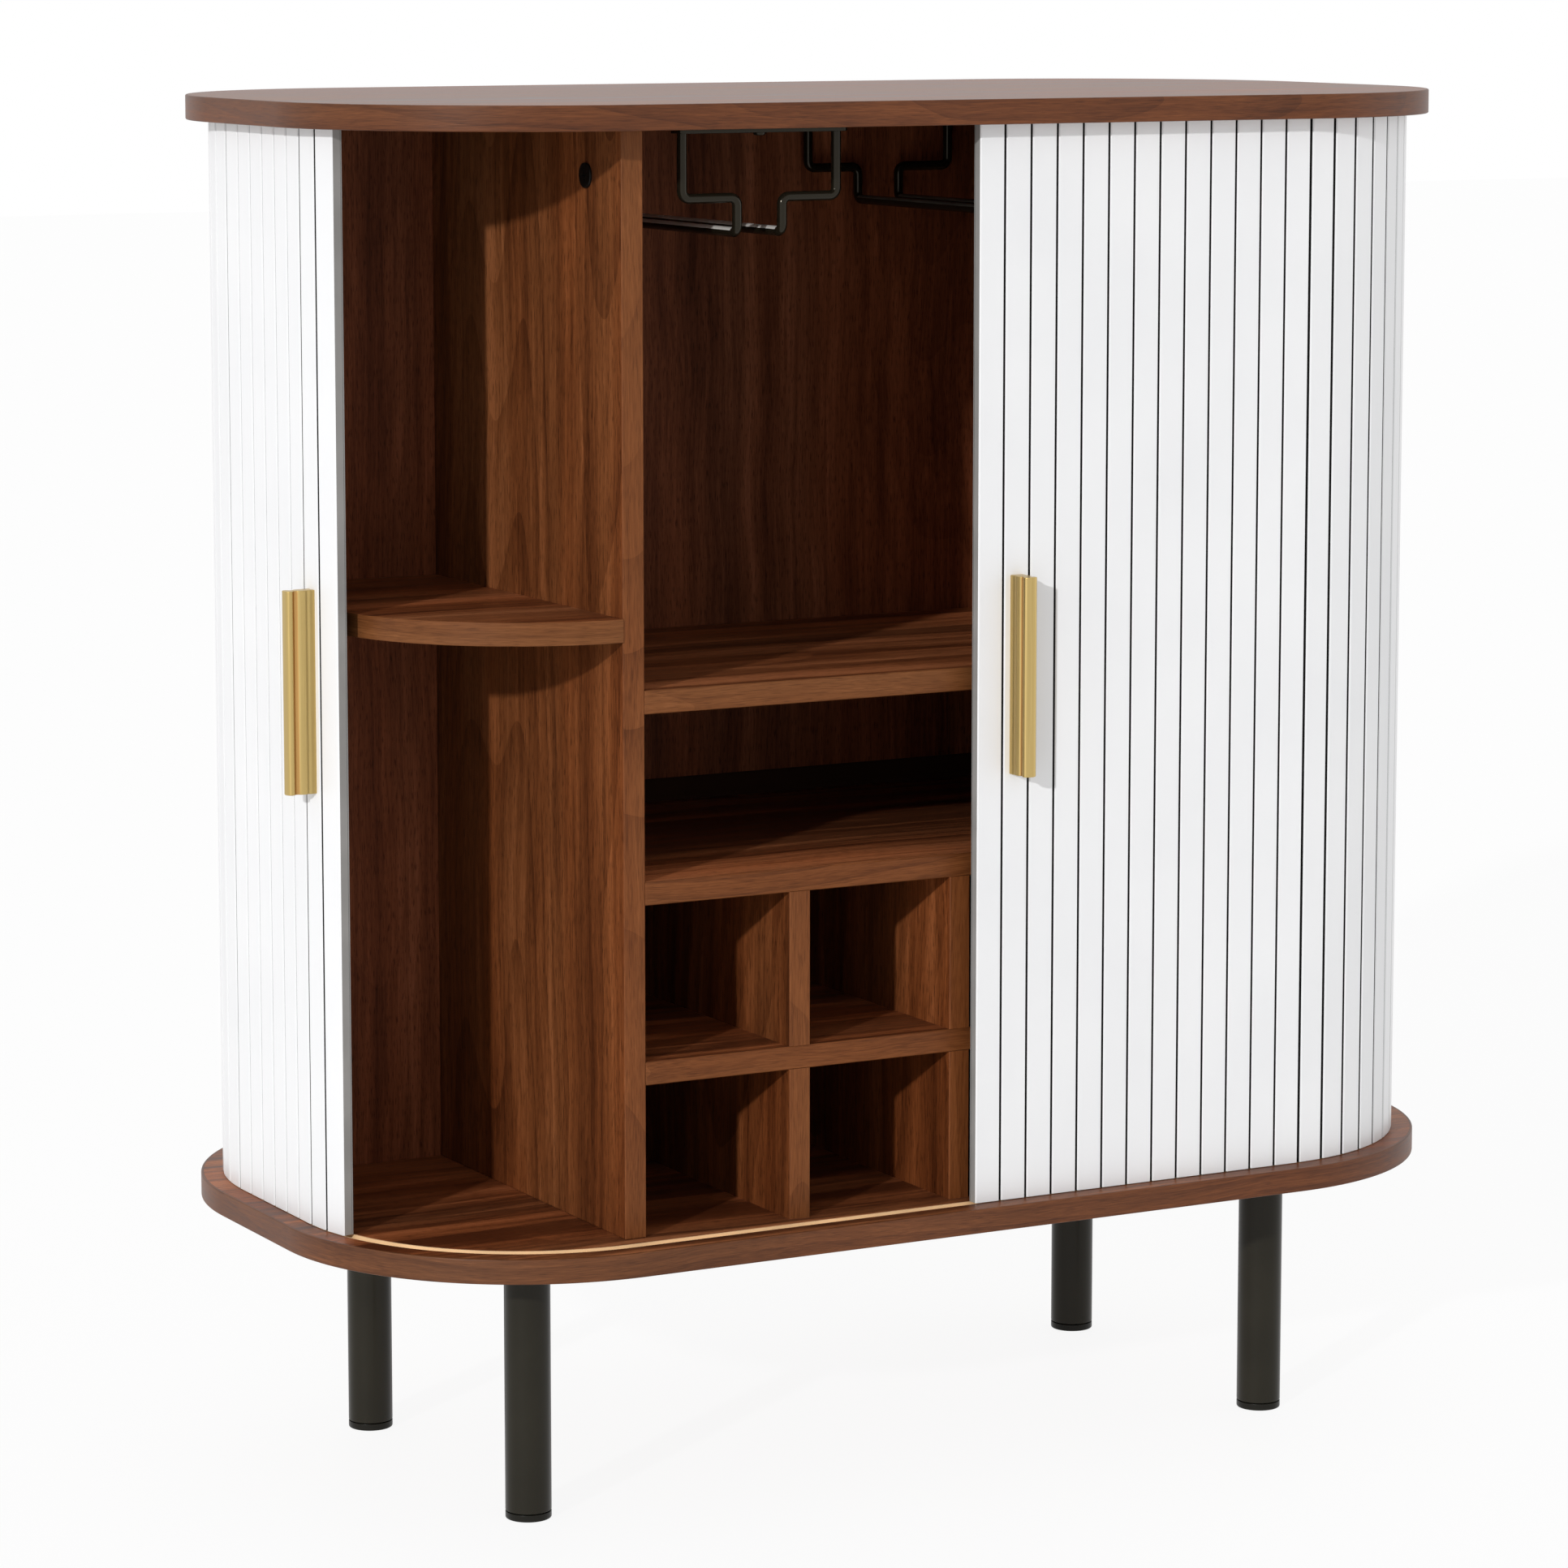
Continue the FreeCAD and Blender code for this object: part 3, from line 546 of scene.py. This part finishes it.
def paintSegment(node, neighbour, isEnd, shadeSoftEdges):
    # canvas is black; the slats' sides are black too, painted shade for the gaps between slats,
    # and the door's own first and last side is grey, painted shade for its end
    middle = sum((Vector(c) for c in neighbour.bound_box), Vector()) / 8
    upright = [(p, p.normal.xy.dot(outwards(p.center))) for p in node.data.polygons
               if abs(p.normal.z) < slats["upright"]]
    sides = {p.index: (p.center.xy - middle.xy).length for p, share in upright
             if abs(share) < slats["side"]}
    reach = max(sides.values()) - slats["end"]
    ends = {index for index, away in sides.items() if isEnd and away > reach}
    black = set(sides) - ends
    if shadeSoftEdges:
        # painted shade: the soft edge that looks away from the opening side is painted as dark as
        # the gap beside it
        black |= {p.index for p, share in upright
                  if slats["softLeast"] < share < slats["softMost"]
                  and p.normal.xy.dot(outwards(p.center).orthogonal()) > slats["softLeast"]}
    paintFaces(node, doorCanvas, lambda c, n: insideEdge(c.x, c.y) > slats["canvas"])
    index = len(node.data.materials) - 1
    for number in black:
        node.data.polygons[number].material_index = index
    if ends:
        node.data.materials.append(endShadeGrey)
    for number in ends:
        node.data.polygons[number].material_index = index + 1


for side in ("left", "right"):
    door = [nodes["%s_door_segment_%02d" % (side, k + 1)] for k in range(slats["segments"])]
    for node, neighbour in zip(door, door[1:] + door[-2:-1]):
        coat(node, whiteLacquer)
        paintSegment(node, neighbour, node in (door[0], door[-1]), side == "right")
print("boards and slats finished")

roundBoard = {"band": 0.0006, "glue": 0.00012, "soft": 0.0008, "softSteps": 3,
              "cornerSteps": 40}
# the channel lies in a groove of the base, at this distance from the edge
channel = {"from": 0.0140, "width": 0.0087, "groove": 0.0062, "wall": 0.0011, "high": 0.0060,
           "slot": 0.0030, "sink": 0.0002}


def roundOutline(name, low, high, inset):
    # block with its four upright corners rounded, inset from the outline
    across = plan["straight"] + plan["radius"] - inset
    deep = plan["side"] + plan["radius"] - inset
    piece = newBlock(name, (-across, -deep, low), (across, deep, high))
    pickEdges(piece, lambda a, b: abs(a.z - b.z) > margin)
    bevelPicked(plan["radius"] - inset, roundBoard["cornerSteps"])
    return piece


def makeRoundBoard(name, node, low, high, wood, grooved):
    piece = roundOutline(name, low, high, 0)
    pickEdges(piece, lambda a, b: abs(a.z - b.z) < hair)
    bevelPicked(roundBoard["soft"], roundBoard["softSteps"])
    edge = roundBoard["soft"] + roundBoard["band"]
    for side in (-1, 1):
        pickFaces(piece, lambda c, n: n.z * side > flat)
        bpy.ops.mesh.inset(thickness=roundBoard["band"])
        bpy.ops.mesh.inset(thickness=roundBoard["glue"])
    if grooved:
        bpy.ops.mesh.inset(thickness=channel["from"] - edge - roundBoard["glue"])
        bpy.ops.mesh.inset(thickness=channel["width"])
        inner = channel["from"] + channel["width"]
        pickFaces(piece, lambda c, n: n.z > flat and abs(c.z - high) < hair
                  and channel["from"] < insideEdge(c.x, c.y) < inner)
        extrudePicked((0, 0, -channel["groove"]))
    endEdit()
    coat(piece, wood)
    paintFaces(piece, rimGrain, lambda c, n: insideEdge(c.x, c.y) < edge)
    paintFaces(piece, glueLine,
               lambda c, n: edge < insideEdge(c.x, c.y) < edge + roundBoard["glue"])
    closeUp(piece, "cabinet")
    wrapMap(piece, plan["radius"])
    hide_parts(node)


rimGrain = walnutMaterial("rimWalnut", "x", (0.4, 0.7, 0.0), rimWood, fromMap=True)
bandGrain = walnutMaterial("bandWalnut", "x", (0.9, 0.2, 0.0), bandWood, fromMap=True)
makeRoundBoard("topBoard", "top_panel", level["underTop"], level["top"],
               walnutMaterial("topWalnut", "x", (0.2, 2.2, 0.1), topWood), False)
makeRoundBoard("baseBoard", "base_panel", level["base"], level["baseTop"],
               walnutMaterial("baseWalnut", "x", (0.8, 3.1, 0.6), flatWood), True)
print("top and base made")


def makeChannel():
    # flat ring with a slot in its upper side
    top = level["baseTop"] - channel["sink"]
    piece = roundOutline("guideChannel", top - channel["high"], top, channel["from"])
    pickFaces(piece, lambda c, n: n.z < flat)
    bpy.ops.mesh.delete(type="ONLY_FACE")
    pickFaces(piece, lambda c, n: True)
    bpy.ops.mesh.inset(thickness=channel["wall"])
    bpy.ops.mesh.inset(thickness=channel["width"] - 2 * channel["wall"])
    bpy.ops.mesh.inset(thickness=channel["wall"])
    bpy.ops.mesh.delete(type="FACE")
    bpy.ops.mesh.select_all(action="SELECT")
    extrudePicked((0, 0, -channel["high"]))
    near = channel["from"] + channel["wall"]
    far = channel["from"] + channel["width"] - channel["wall"]
    pickFaces(piece, lambda c, n: abs(n.z) > flat and abs(c.z - top) < hair
              and near < insideEdge(c.x, c.y) < far)
    extrudePicked((0, 0, -channel["slot"]))
    endEdit()
    coat(piece, slidePlastic)
    closeUp(piece, "cabinet")
    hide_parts("base_channel")


makeChannel()
print("guide channel made")

cornerShelf = {"inner": 0.2284, "radius": 0.127, "back": 0.080, "low": 0.5361, "high": 0.5501,
               "roundSteps": 36, "soft": 0.0006, "softSteps": 3,
               "band": 0.9,    # faces whose normal rises less than this carry the edge band
               "figure": (1.4, 4.2, 0.5)}    # place in the walnut's figure, moved for each side


def modelCornerShelf():
    # quarter-round shelf of the right end
    inner, back = cornerShelf["inner"], cornerShelf["back"]
    outer = plan["straight"] + cornerShelf["radius"]
    front = -(plan["side"] + cornerShelf["radius"])
    piece = newBlock("cornerShelf", (inner, front, cornerShelf["low"]),
                     (outer, back, cornerShelf["high"]))
    pickEdges(piece, lambda a, b: abs(a.z - b.z) > margin and a.y < 0 and a.x > outer - margin)
    bevelPicked(cornerShelf["radius"], cornerShelf["roundSteps"])
    # every level edge but those against the divider and at the back
    pickEdges(piece, lambda a, b: abs(a.z - b.z) < hair and max(a.y, b.y) < back - margin
              and max(a.x, b.x) > inner + margin)
    bevelPicked(cornerShelf["soft"], cornerShelf["softSteps"])
    endEdit()
    return piece


def makeCornerShelves():
    model = modelCornerShelf()
    along, deep, up = cornerShelf["figure"]
    for end, side in (("left", -1), ("right", 1)):
        piece = copyPiece(model, end + "CornerShelf", (0, 0, 0))
        piece.scale.x = side
        coat(piece, walnutMaterial(end + "CornerShelfWalnut", "x", (along + side, deep, up),
                                   flatWood))
        paintFaces(piece, bandGrain, lambda c, n: abs(n.z) < cornerShelf["band"]
                   and c.y < cornerShelf["back"] - margin)
        closeUp(piece, "cabinet")
        wrapMap(piece, cornerShelf["radius"])
        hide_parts(end + "_corner_shelf")
    bpy.data.objects.remove(model)


makeCornerShelves()
print("corner shelves made")

leg = {"x": 0.2628, "y": 0.1156, "radius": 0.014, "steps": 72, "soft": 0.0005, "softSteps": 3}
foot = {"high": 0.005, "groove": 0.0006, "sole": 0.0010, "soleSteps": 4, "rim": 0.0003,
        "rimSteps": 2, "well": 0.0030, "wellDeep": 0.0008, "neckIn": 0.0018, "neck": 0.0095}


def modelLeg():
    # turned tube on the cabinet's centre line, a little slimmer where its cap begins
    piece = newRound(leg["radius"], foot["high"], level["base"], leg["steps"])
    pickEdges(piece, lambda a, b: abs(a.z - b.z) < hair)
    bevelPicked(leg["soft"], leg["softSteps"])
    pickFaces(piece, lambda c, n: n.z < -flat)
    bpy.ops.mesh.inset(thickness=leg["soft"])
    extrudePicked((0, 0, leg["soft"]))
    endEdit()
    coat(piece, legPaint)
    return piece


def modelFoot():
    # cap with a shallow well in its sole and a neck that goes up into the tube
    high = foot["high"] - foot["groove"]
    cap = newRound(leg["radius"], 0, high, leg["steps"])
    pickEdges(cap, lambda a, b: max(a.z, b.z) < hair)
    bevelPicked(foot["sole"], foot["soleSteps"])
    pickEdges(cap, lambda a, b: min(a.z, b.z) > high - hair)
    bevelPicked(foot["rim"], foot["rimSteps"])
    pickFaces(cap, lambda c, n: n.z < -flat)
    bpy.ops.mesh.inset(thickness=foot["well"])
    extrudePicked((0, 0, foot["wellDeep"]))
    pickFaces(cap, lambda c, n: n.z > flat and c.z > high - hair)
    bpy.ops.mesh.inset(thickness=foot["neckIn"])
    extrudePicked((0, 0, foot["neck"]))
    endEdit()
    coat(cap, footPlastic)
    return cap


legModel, footModel = modelLeg(), modelFoot()
feet = []
for end, x in (("left", -leg["x"]), ("right", leg["x"])):
    for row, y in (("front", -leg["y"]), ("rear", leg["y"])):
        tube = copyPiece(legModel, row + end.capitalize() + "Leg", (x, y, 0))
        closeUp(tube, "cabinet")
        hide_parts(row + "_" + end + "_leg")
        feet.append(copyPiece(footModel, "foot", (x, y, 0)))
footCaps = joinPieces(feet, "footCaps")
closeUp(footCaps, "cabinet")
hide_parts("foot_caps")
for model in (legModel, footModel):
    bpy.data.objects.remove(model)
print("legs made")

handle = {"width": 0.0088, "deep": 0.0180, "ends": 0.0005, "endSteps": 3,
          # distance from the slat and width there: foot, hollow neck, rounded lip
          "profile": ((0.0030, 0.0088), (0.0040, 0.0083), (0.0047, 0.0080), (0.0054, 0.0083),
                      (0.0064, 0.0088), (0.0088, 0.0088), (0.0100, 0.0080), (0.0107, 0.0066),
                      (0.0114, 0.0055), (0.0124, 0.0052), (0.0133, 0.0058), (0.0140, 0.0074),
                      (0.0148, 0.0085), (0.0158, 0.0088), (0.0168, 0.0081), (0.0175, 0.0065),
                      (0.0180, 0.0040)),
          "neck": (0.0104, 0.0137),    # between these the gold is darker and more orange, painted shade and reflection
          "smooth": 40}


def modelHandle(low, high):
    # extruded pull standing at the origin, facing +y
    half = handle["width"] / 2
    piece = newBlock("handleModel", (-half, 0, low), (half, handle["deep"], high))
    startEdit()
    for away, wide in handle["profile"]:
        if away < handle["deep"]:
            bpy.ops.mesh.select_all(action="SELECT")
            bpy.ops.mesh.bisect(plane_co=(0, away, 0), plane_no=(0, 1, 0))
    for away, wide in handle["profile"]:
        pickEdges(piece, lambda a, b: abs(a.y - away) < hair and abs(b.y - away) < hair)
        bpy.ops.transform.resize(value=(wide / handle["width"], 1, 1))
    # the outline of both ends, but not across the foot
    pickEdges(piece, lambda a, b: abs(a.z - b.z) < hair and max(a.y, b.y) > hair
              and (abs(a.z - low) < hair or abs(a.z - high) < hair) and abs(a.x + b.x) >= hair)
    bpy.ops.mesh.bevel(offset=handle["ends"], segments=handle["endSteps"], affect="EDGES",
                       clamp_overlap=True)
    endEdit()
    coat(piece, brushedGold)
    near, far = handle["neck"]
    # painted shade and reflection in the hollow neck
    paintFaces(piece, hollowShadeGold, lambda c, n: near < c.y < far and abs(n.z) < facing)
    return piece


def placeHandle(model, name, node, body):
    # the node's largest flank gives the handle's turn, its points give the place
    mesh = nodes[node].data
    flank = max(mesh.polygons, key=lambda p: p.area).normal
    along = flank.xy.normalized()
    out = Vector((along.y, -along.x))
    points = [v.co.xy for v in mesh.vertices]
    middle = sum(points, Vector((0, 0))) / len(points)
    ahead = middle + out * margin
    if insideEdge(ahead.x, ahead.y) > insideEdge(middle.x, middle.y):
        out = -out
    sides = [p.dot(along) for p in points]
    start = min(p.dot(out) for p in points)
    place = along * (min(sides) + max(sides)) / 2 + out * start
    piece = copyPiece(model, name, (place.x, place.y, 0))
    piece.rotation_euler = (0, 0, math.atan2(out.y, out.x) - math.pi / 2)
    closeUp(piece, body, handle["smooth"])
    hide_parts(node)


handleLow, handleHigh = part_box("left_handle")
handleModel = modelHandle(handleLow.z, handleHigh.z)
placeHandle(handleModel, "leftHandle", "left_handle", "left_door_1")
placeHandle(handleModel, "rightHandle", "right_handle", "right_door_1")
bpy.data.objects.remove(handleModel)
print("handles made")

rack = {"wire": 0.003, "bend": 0.0045, "bendSteps": 9, "roundSteps": 6, "halfWidth": 0.0515,
        "halfGap": 0.015, "step": 0.0205, "front": -0.156, "rear": 0.070, "smooth": 50,
        "left": (-0.12581, 0.042), "right": (0.08250, 0.036),    # middle line, drop
        "topNormal": 0.55, "topReach": 0.0005, "topShort": 0.004}    # painted highlight on the rails' tops
strip = {"thick": 0.004, "halfDeep": 0.007, "past": 0.005, "corner": 0.0035, "cornerSteps": 6,
         "soft": 0.0006, "softSteps": 3}
screw = {"radius": 0.0036, "steps": 48, "high": 0.0018, "soft": 0.0010, "softSteps": 4,
         "rim": 0.0002, "arm": 0.0016, "slim": 0.28, "sink": 0.0009}


def makeWire(drop, straightRear):
    # one bent wire right of a rack's middle line, from strip to strip
    # its rear either mirrors the front or goes straight up
    outer, inner = rack["halfWidth"], rack["halfGap"]
    front, rear = rack["front"], rack["rear"]
    under = level["underTop"] - strip["thick"]
    shoulder = level["underTop"] - drop
    rail = shoulder - rack["step"]
    route = [(outer, front, under), (outer, front, shoulder), (inner, front, shoulder),
             (inner, front, rail), (inner, rear, rail)]
    if straightRear:
        route += [(inner, rear, under)]
    else:
        route += [(inner, rear, shoulder), (outer, rear, shoulder), (outer, rear, under)]
    clearSelection()
    bpy.ops.mesh.primitive_plane_add(size=rack["wire"], location=route[0])
    bpy.ops.object.transform_apply(location=True, rotation=True, scale=True)
    startEdit()
    bpy.ops.mesh.merge(type="CENTER")    # leaves one point to draw the wire from
    for before, after in zip(route[:-1], route[1:]):
        extrudePicked(Vector(after) - Vector(before))
    bpy.ops.mesh.select_all(action="SELECT")
    bpy.ops.mesh.bevel(offset=rack["bend"], segments=rack["bendSteps"], affect="VERTICES",
                       clamp_overlap=False)
    endEdit()
    bpy.ops.object.convert(target="CURVE")
    wire = bpy.context.object
    wire.data.bevel_depth = rack["wire"]
    wire.data.bevel_resolution = rack["roundSteps"]
    wire.data.use_fill_caps = True
    bpy.ops.object.convert(target="MESH")
    return bpy.context.object


def makeRack(name, node, x, drop, straightRear, railTopHighlight):
    wire = makeWire(drop, straightRear)
    mirrored = copyPiece(wire, "mirroredWire", (x, 0, 0))
    mirrored.scale.x = -1
    wire.location.x = x
    piece = joinPieces([wire, mirrored], name)
    coat(piece, blackWire)
    closeUp(piece, "cabinet", rack["smooth"])
    # painted highlight: the rails' tops get a light paint for the light they catch, dimmer on the
    # right rack
    top = level["underTop"] - drop - rack["step"] + rack["wire"] + rack["topReach"]
    front, rear = rack["front"] + rack["topShort"], rack["rear"] - rack["topShort"]
    paintFaces(piece, railTopHighlight,
               lambda c, n: n.z > rack["topNormal"] and c.z < top and front < c.y < rear)
    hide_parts(node)


def modelScrewHead(look):
    # round head at the origin, seen from above, with a rounded rim and a cross pressed into it
    head = newRound(look["radius"], 0, look["high"], look["steps"])
    pickEdges(head, lambda a, b: min(a.z, b.z) > look["high"] - hair)
    bevelPicked(look["soft"], look["softSteps"])
    pickFaces(head, lambda c, n: n.z > flat)
    bpy.ops.mesh.inset(thickness=look["rim"])
    arm, half = look["arm"], look["arm"] * look["slim"]
    inner = look["radius"] - look["soft"] - look["rim"]
    for cut in (-arm, -half, half, arm):
        for across in ((1, 0, 0), (0, 1, 0)):
            pickFaces(head, lambda c, n: n.z > flat and c.xy.length < inner)
            bpy.ops.mesh.bisect(plane_co=tuple(cut * v for v in across), plane_no=across)
    pickFaces(head, lambda c, n: n.z > flat and min(abs(c.x), abs(c.y)) < half
              and max(abs(c.x), abs(c.y)) < arm)
    extrudePicked((0, 0, -look["sink"]))
    endEdit()
    return head


def modelStrip():
    # flat strip with rounded ends and one screw, under the top
    half, deep = rack["halfWidth"] + strip["past"], strip["halfDeep"]
    low = level["underTop"] - strip["thick"]
    plate = newBlock("strip", (-half, -deep, low), (half, deep, level["underTop"]))
    pickEdges(plate, lambda a, b: abs(a.z - b.z) > margin)
    bevelPicked(strip["corner"], strip["cornerSteps"])
    pickEdges(plate, lambda a, b: max(a.z, b.z) < low + margin)
    bevelPicked(strip["soft"], strip["softSteps"])
    endEdit()
    head = modelScrewHead(screw)
    head.rotation_euler = (math.pi, 0, 0)
    head.location.z = low
    return joinPieces([plate, head], "stripModel")


def makeStrips():
    model = modelStrip()
    strips = [copyPiece(model, "strip", (x, y, 0)) for x, drop in (rack["left"], rack["right"])
              for y in (rack["front"], rack["rear"])]
    bpy.data.objects.remove(model)
    piece = joinPieces(strips, "rackStrips")
    coat(piece, blackWire)
    closeUp(piece, "cabinet")
    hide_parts("rack_strips")


makeRack("leftRack", "left_glass_rack", *rack["left"], True, railHighlight)
makeRack("rightRack", "right_glass_rack", *rack["right"], False, dimRailHighlight)
makeStrips()
print("racks made")

connector = {"face": 0.2284, "y": -0.1335, "z": 0.806, "radius": 0.0075, "steps": 48,
             "high": 0.0014, "soft": 0.0004, "softSteps": 4, "rim": 0.0009, "arm": 0.0030,
             "slim": 0.24, "sink": 0.0008}


def makeCaps():
    # one cap on the outer face of each divider
    model = modelScrewHead(connector)
    caps = []
    for side in (-1, 1):
        place = (side * connector["face"], connector["y"], connector["z"])
        caps.append(copyPiece(model, "cap", place))
        caps[-1].rotation_euler = (0, side * math.pi / 2, 0)
    bpy.data.objects.remove(model)
    piece = joinPieces(caps, "connectorCaps")
    coat(piece, capPaint)
    closeUp(piece, "cabinet")
    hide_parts("connector_caps")


makeCaps()
print("connector caps made")

studio = {"middle": (0, 0, 0.5),    # where both lamps look
          "sun": 1.70, "sunSize": 1.8, "sunPlace": (-3.112, -2.138, 1.822),
          "fill": 8.0, "fillSize": 2.2, "fillPlace": (3.0, -1.2, 1.2),
          "world": 0.66,
          "floorSize": 30, "floor": (0.95, 0.95, 0.95), "floorRough": 0.6, "floorGlow": 0.90}
# place, pitch down and turn fitted to the photograph
view = {"place": (-1.64349, -2.97647, 0.93892), "pitch": 0.13648, "turn": -0.49816,
        "lens": 124.514, "sensor": 36, "shift": -0.06}


def seenDirectly(tree):
    # 1 for the camera and for reflections, 0 for the light that falls on the cabinet
    rays = addNode(tree, "ShaderNodeLightPath").outputs
    return addMath(tree, "MAXIMUM", rays["Is Camera Ray"], rays["Is Glossy Ray"])


def makeFloor():
    clearSelection()
    bpy.ops.mesh.primitive_plane_add(size=studio["floorSize"], location=(0, 0, 0))
    floor = bpy.context.object
    floor.name = "studioFloor"
    material, tree, shader = newMaterial("studioFloor")
    shader.inputs["Base Color"].default_value = (*studio["floor"], 1)
    shader.inputs["Roughness"].default_value = studio["floorRough"]
    share = addMath(tree, "MULTIPLY", seenDirectly(tree), studio["floorGlow"])
    glow = addNode(tree, "ShaderNodeEmission", {"Color": (1, 1, 1, 1), "Strength": 1.0})
    both = addNode(tree, "ShaderNodeMixShader", {"Fac": share, 1: shader.outputs[0],
                                                 2: glow.outputs[0]})
    tree.links.new(both.outputs[0], tree.nodes["Material Output"].inputs["Surface"])
    floor.data.materials.append(material)


def makeWorld():
    world = bpy.data.worlds.new("studioWorld")
    bpy.context.scene.world = world
    world.use_nodes = True
    tree = world.node_tree
    back = tree.nodes["Background"]
    strength = addScaled(tree, seenDirectly(tree), 1.0 - studio["world"], studio["world"])
    tree.links.new(strength, back.inputs["Strength"])
    back.inputs["Color"].default_value = (1, 1, 1, 1)


def addLamp(kind, place, power):
    bpy.ops.object.light_add(type=kind, location=place)
    lamp = bpy.context.object
    lamp.data.energy = power
    turn = (Vector(studio["middle"]) - lamp.location).to_track_quat("-Z", "Y")
    lamp.rotation_euler = turn.to_euler()
    return lamp.data


def makeLights():
    clearSelection()
    sun = addLamp("SUN", studio["sunPlace"], studio["sun"])
    sun.angle = math.radians(studio["sunSize"])
    fill = addLamp("AREA", studio["fillPlace"], studio["fill"])
    fill.shape = "RECTANGLE"
    fill.size = fill.size_y = studio["fillSize"]


def makeCamera():
    bpy.ops.object.camera_add(location=view["place"],
                              rotation=(math.pi / 2 - view["pitch"], 0, view["turn"]))
    camera = bpy.context.object
    camera.data.lens = view["lens"]
    camera.data.sensor_width = view["sensor"]
    camera.data.shift_y = view["shift"]
    bpy.context.scene.camera = camera


makeFloor()
makeWorld()
makeLights()
makeCamera()
bpy.context.scene.view_settings.view_transform = "Standard"
print("studio ready")
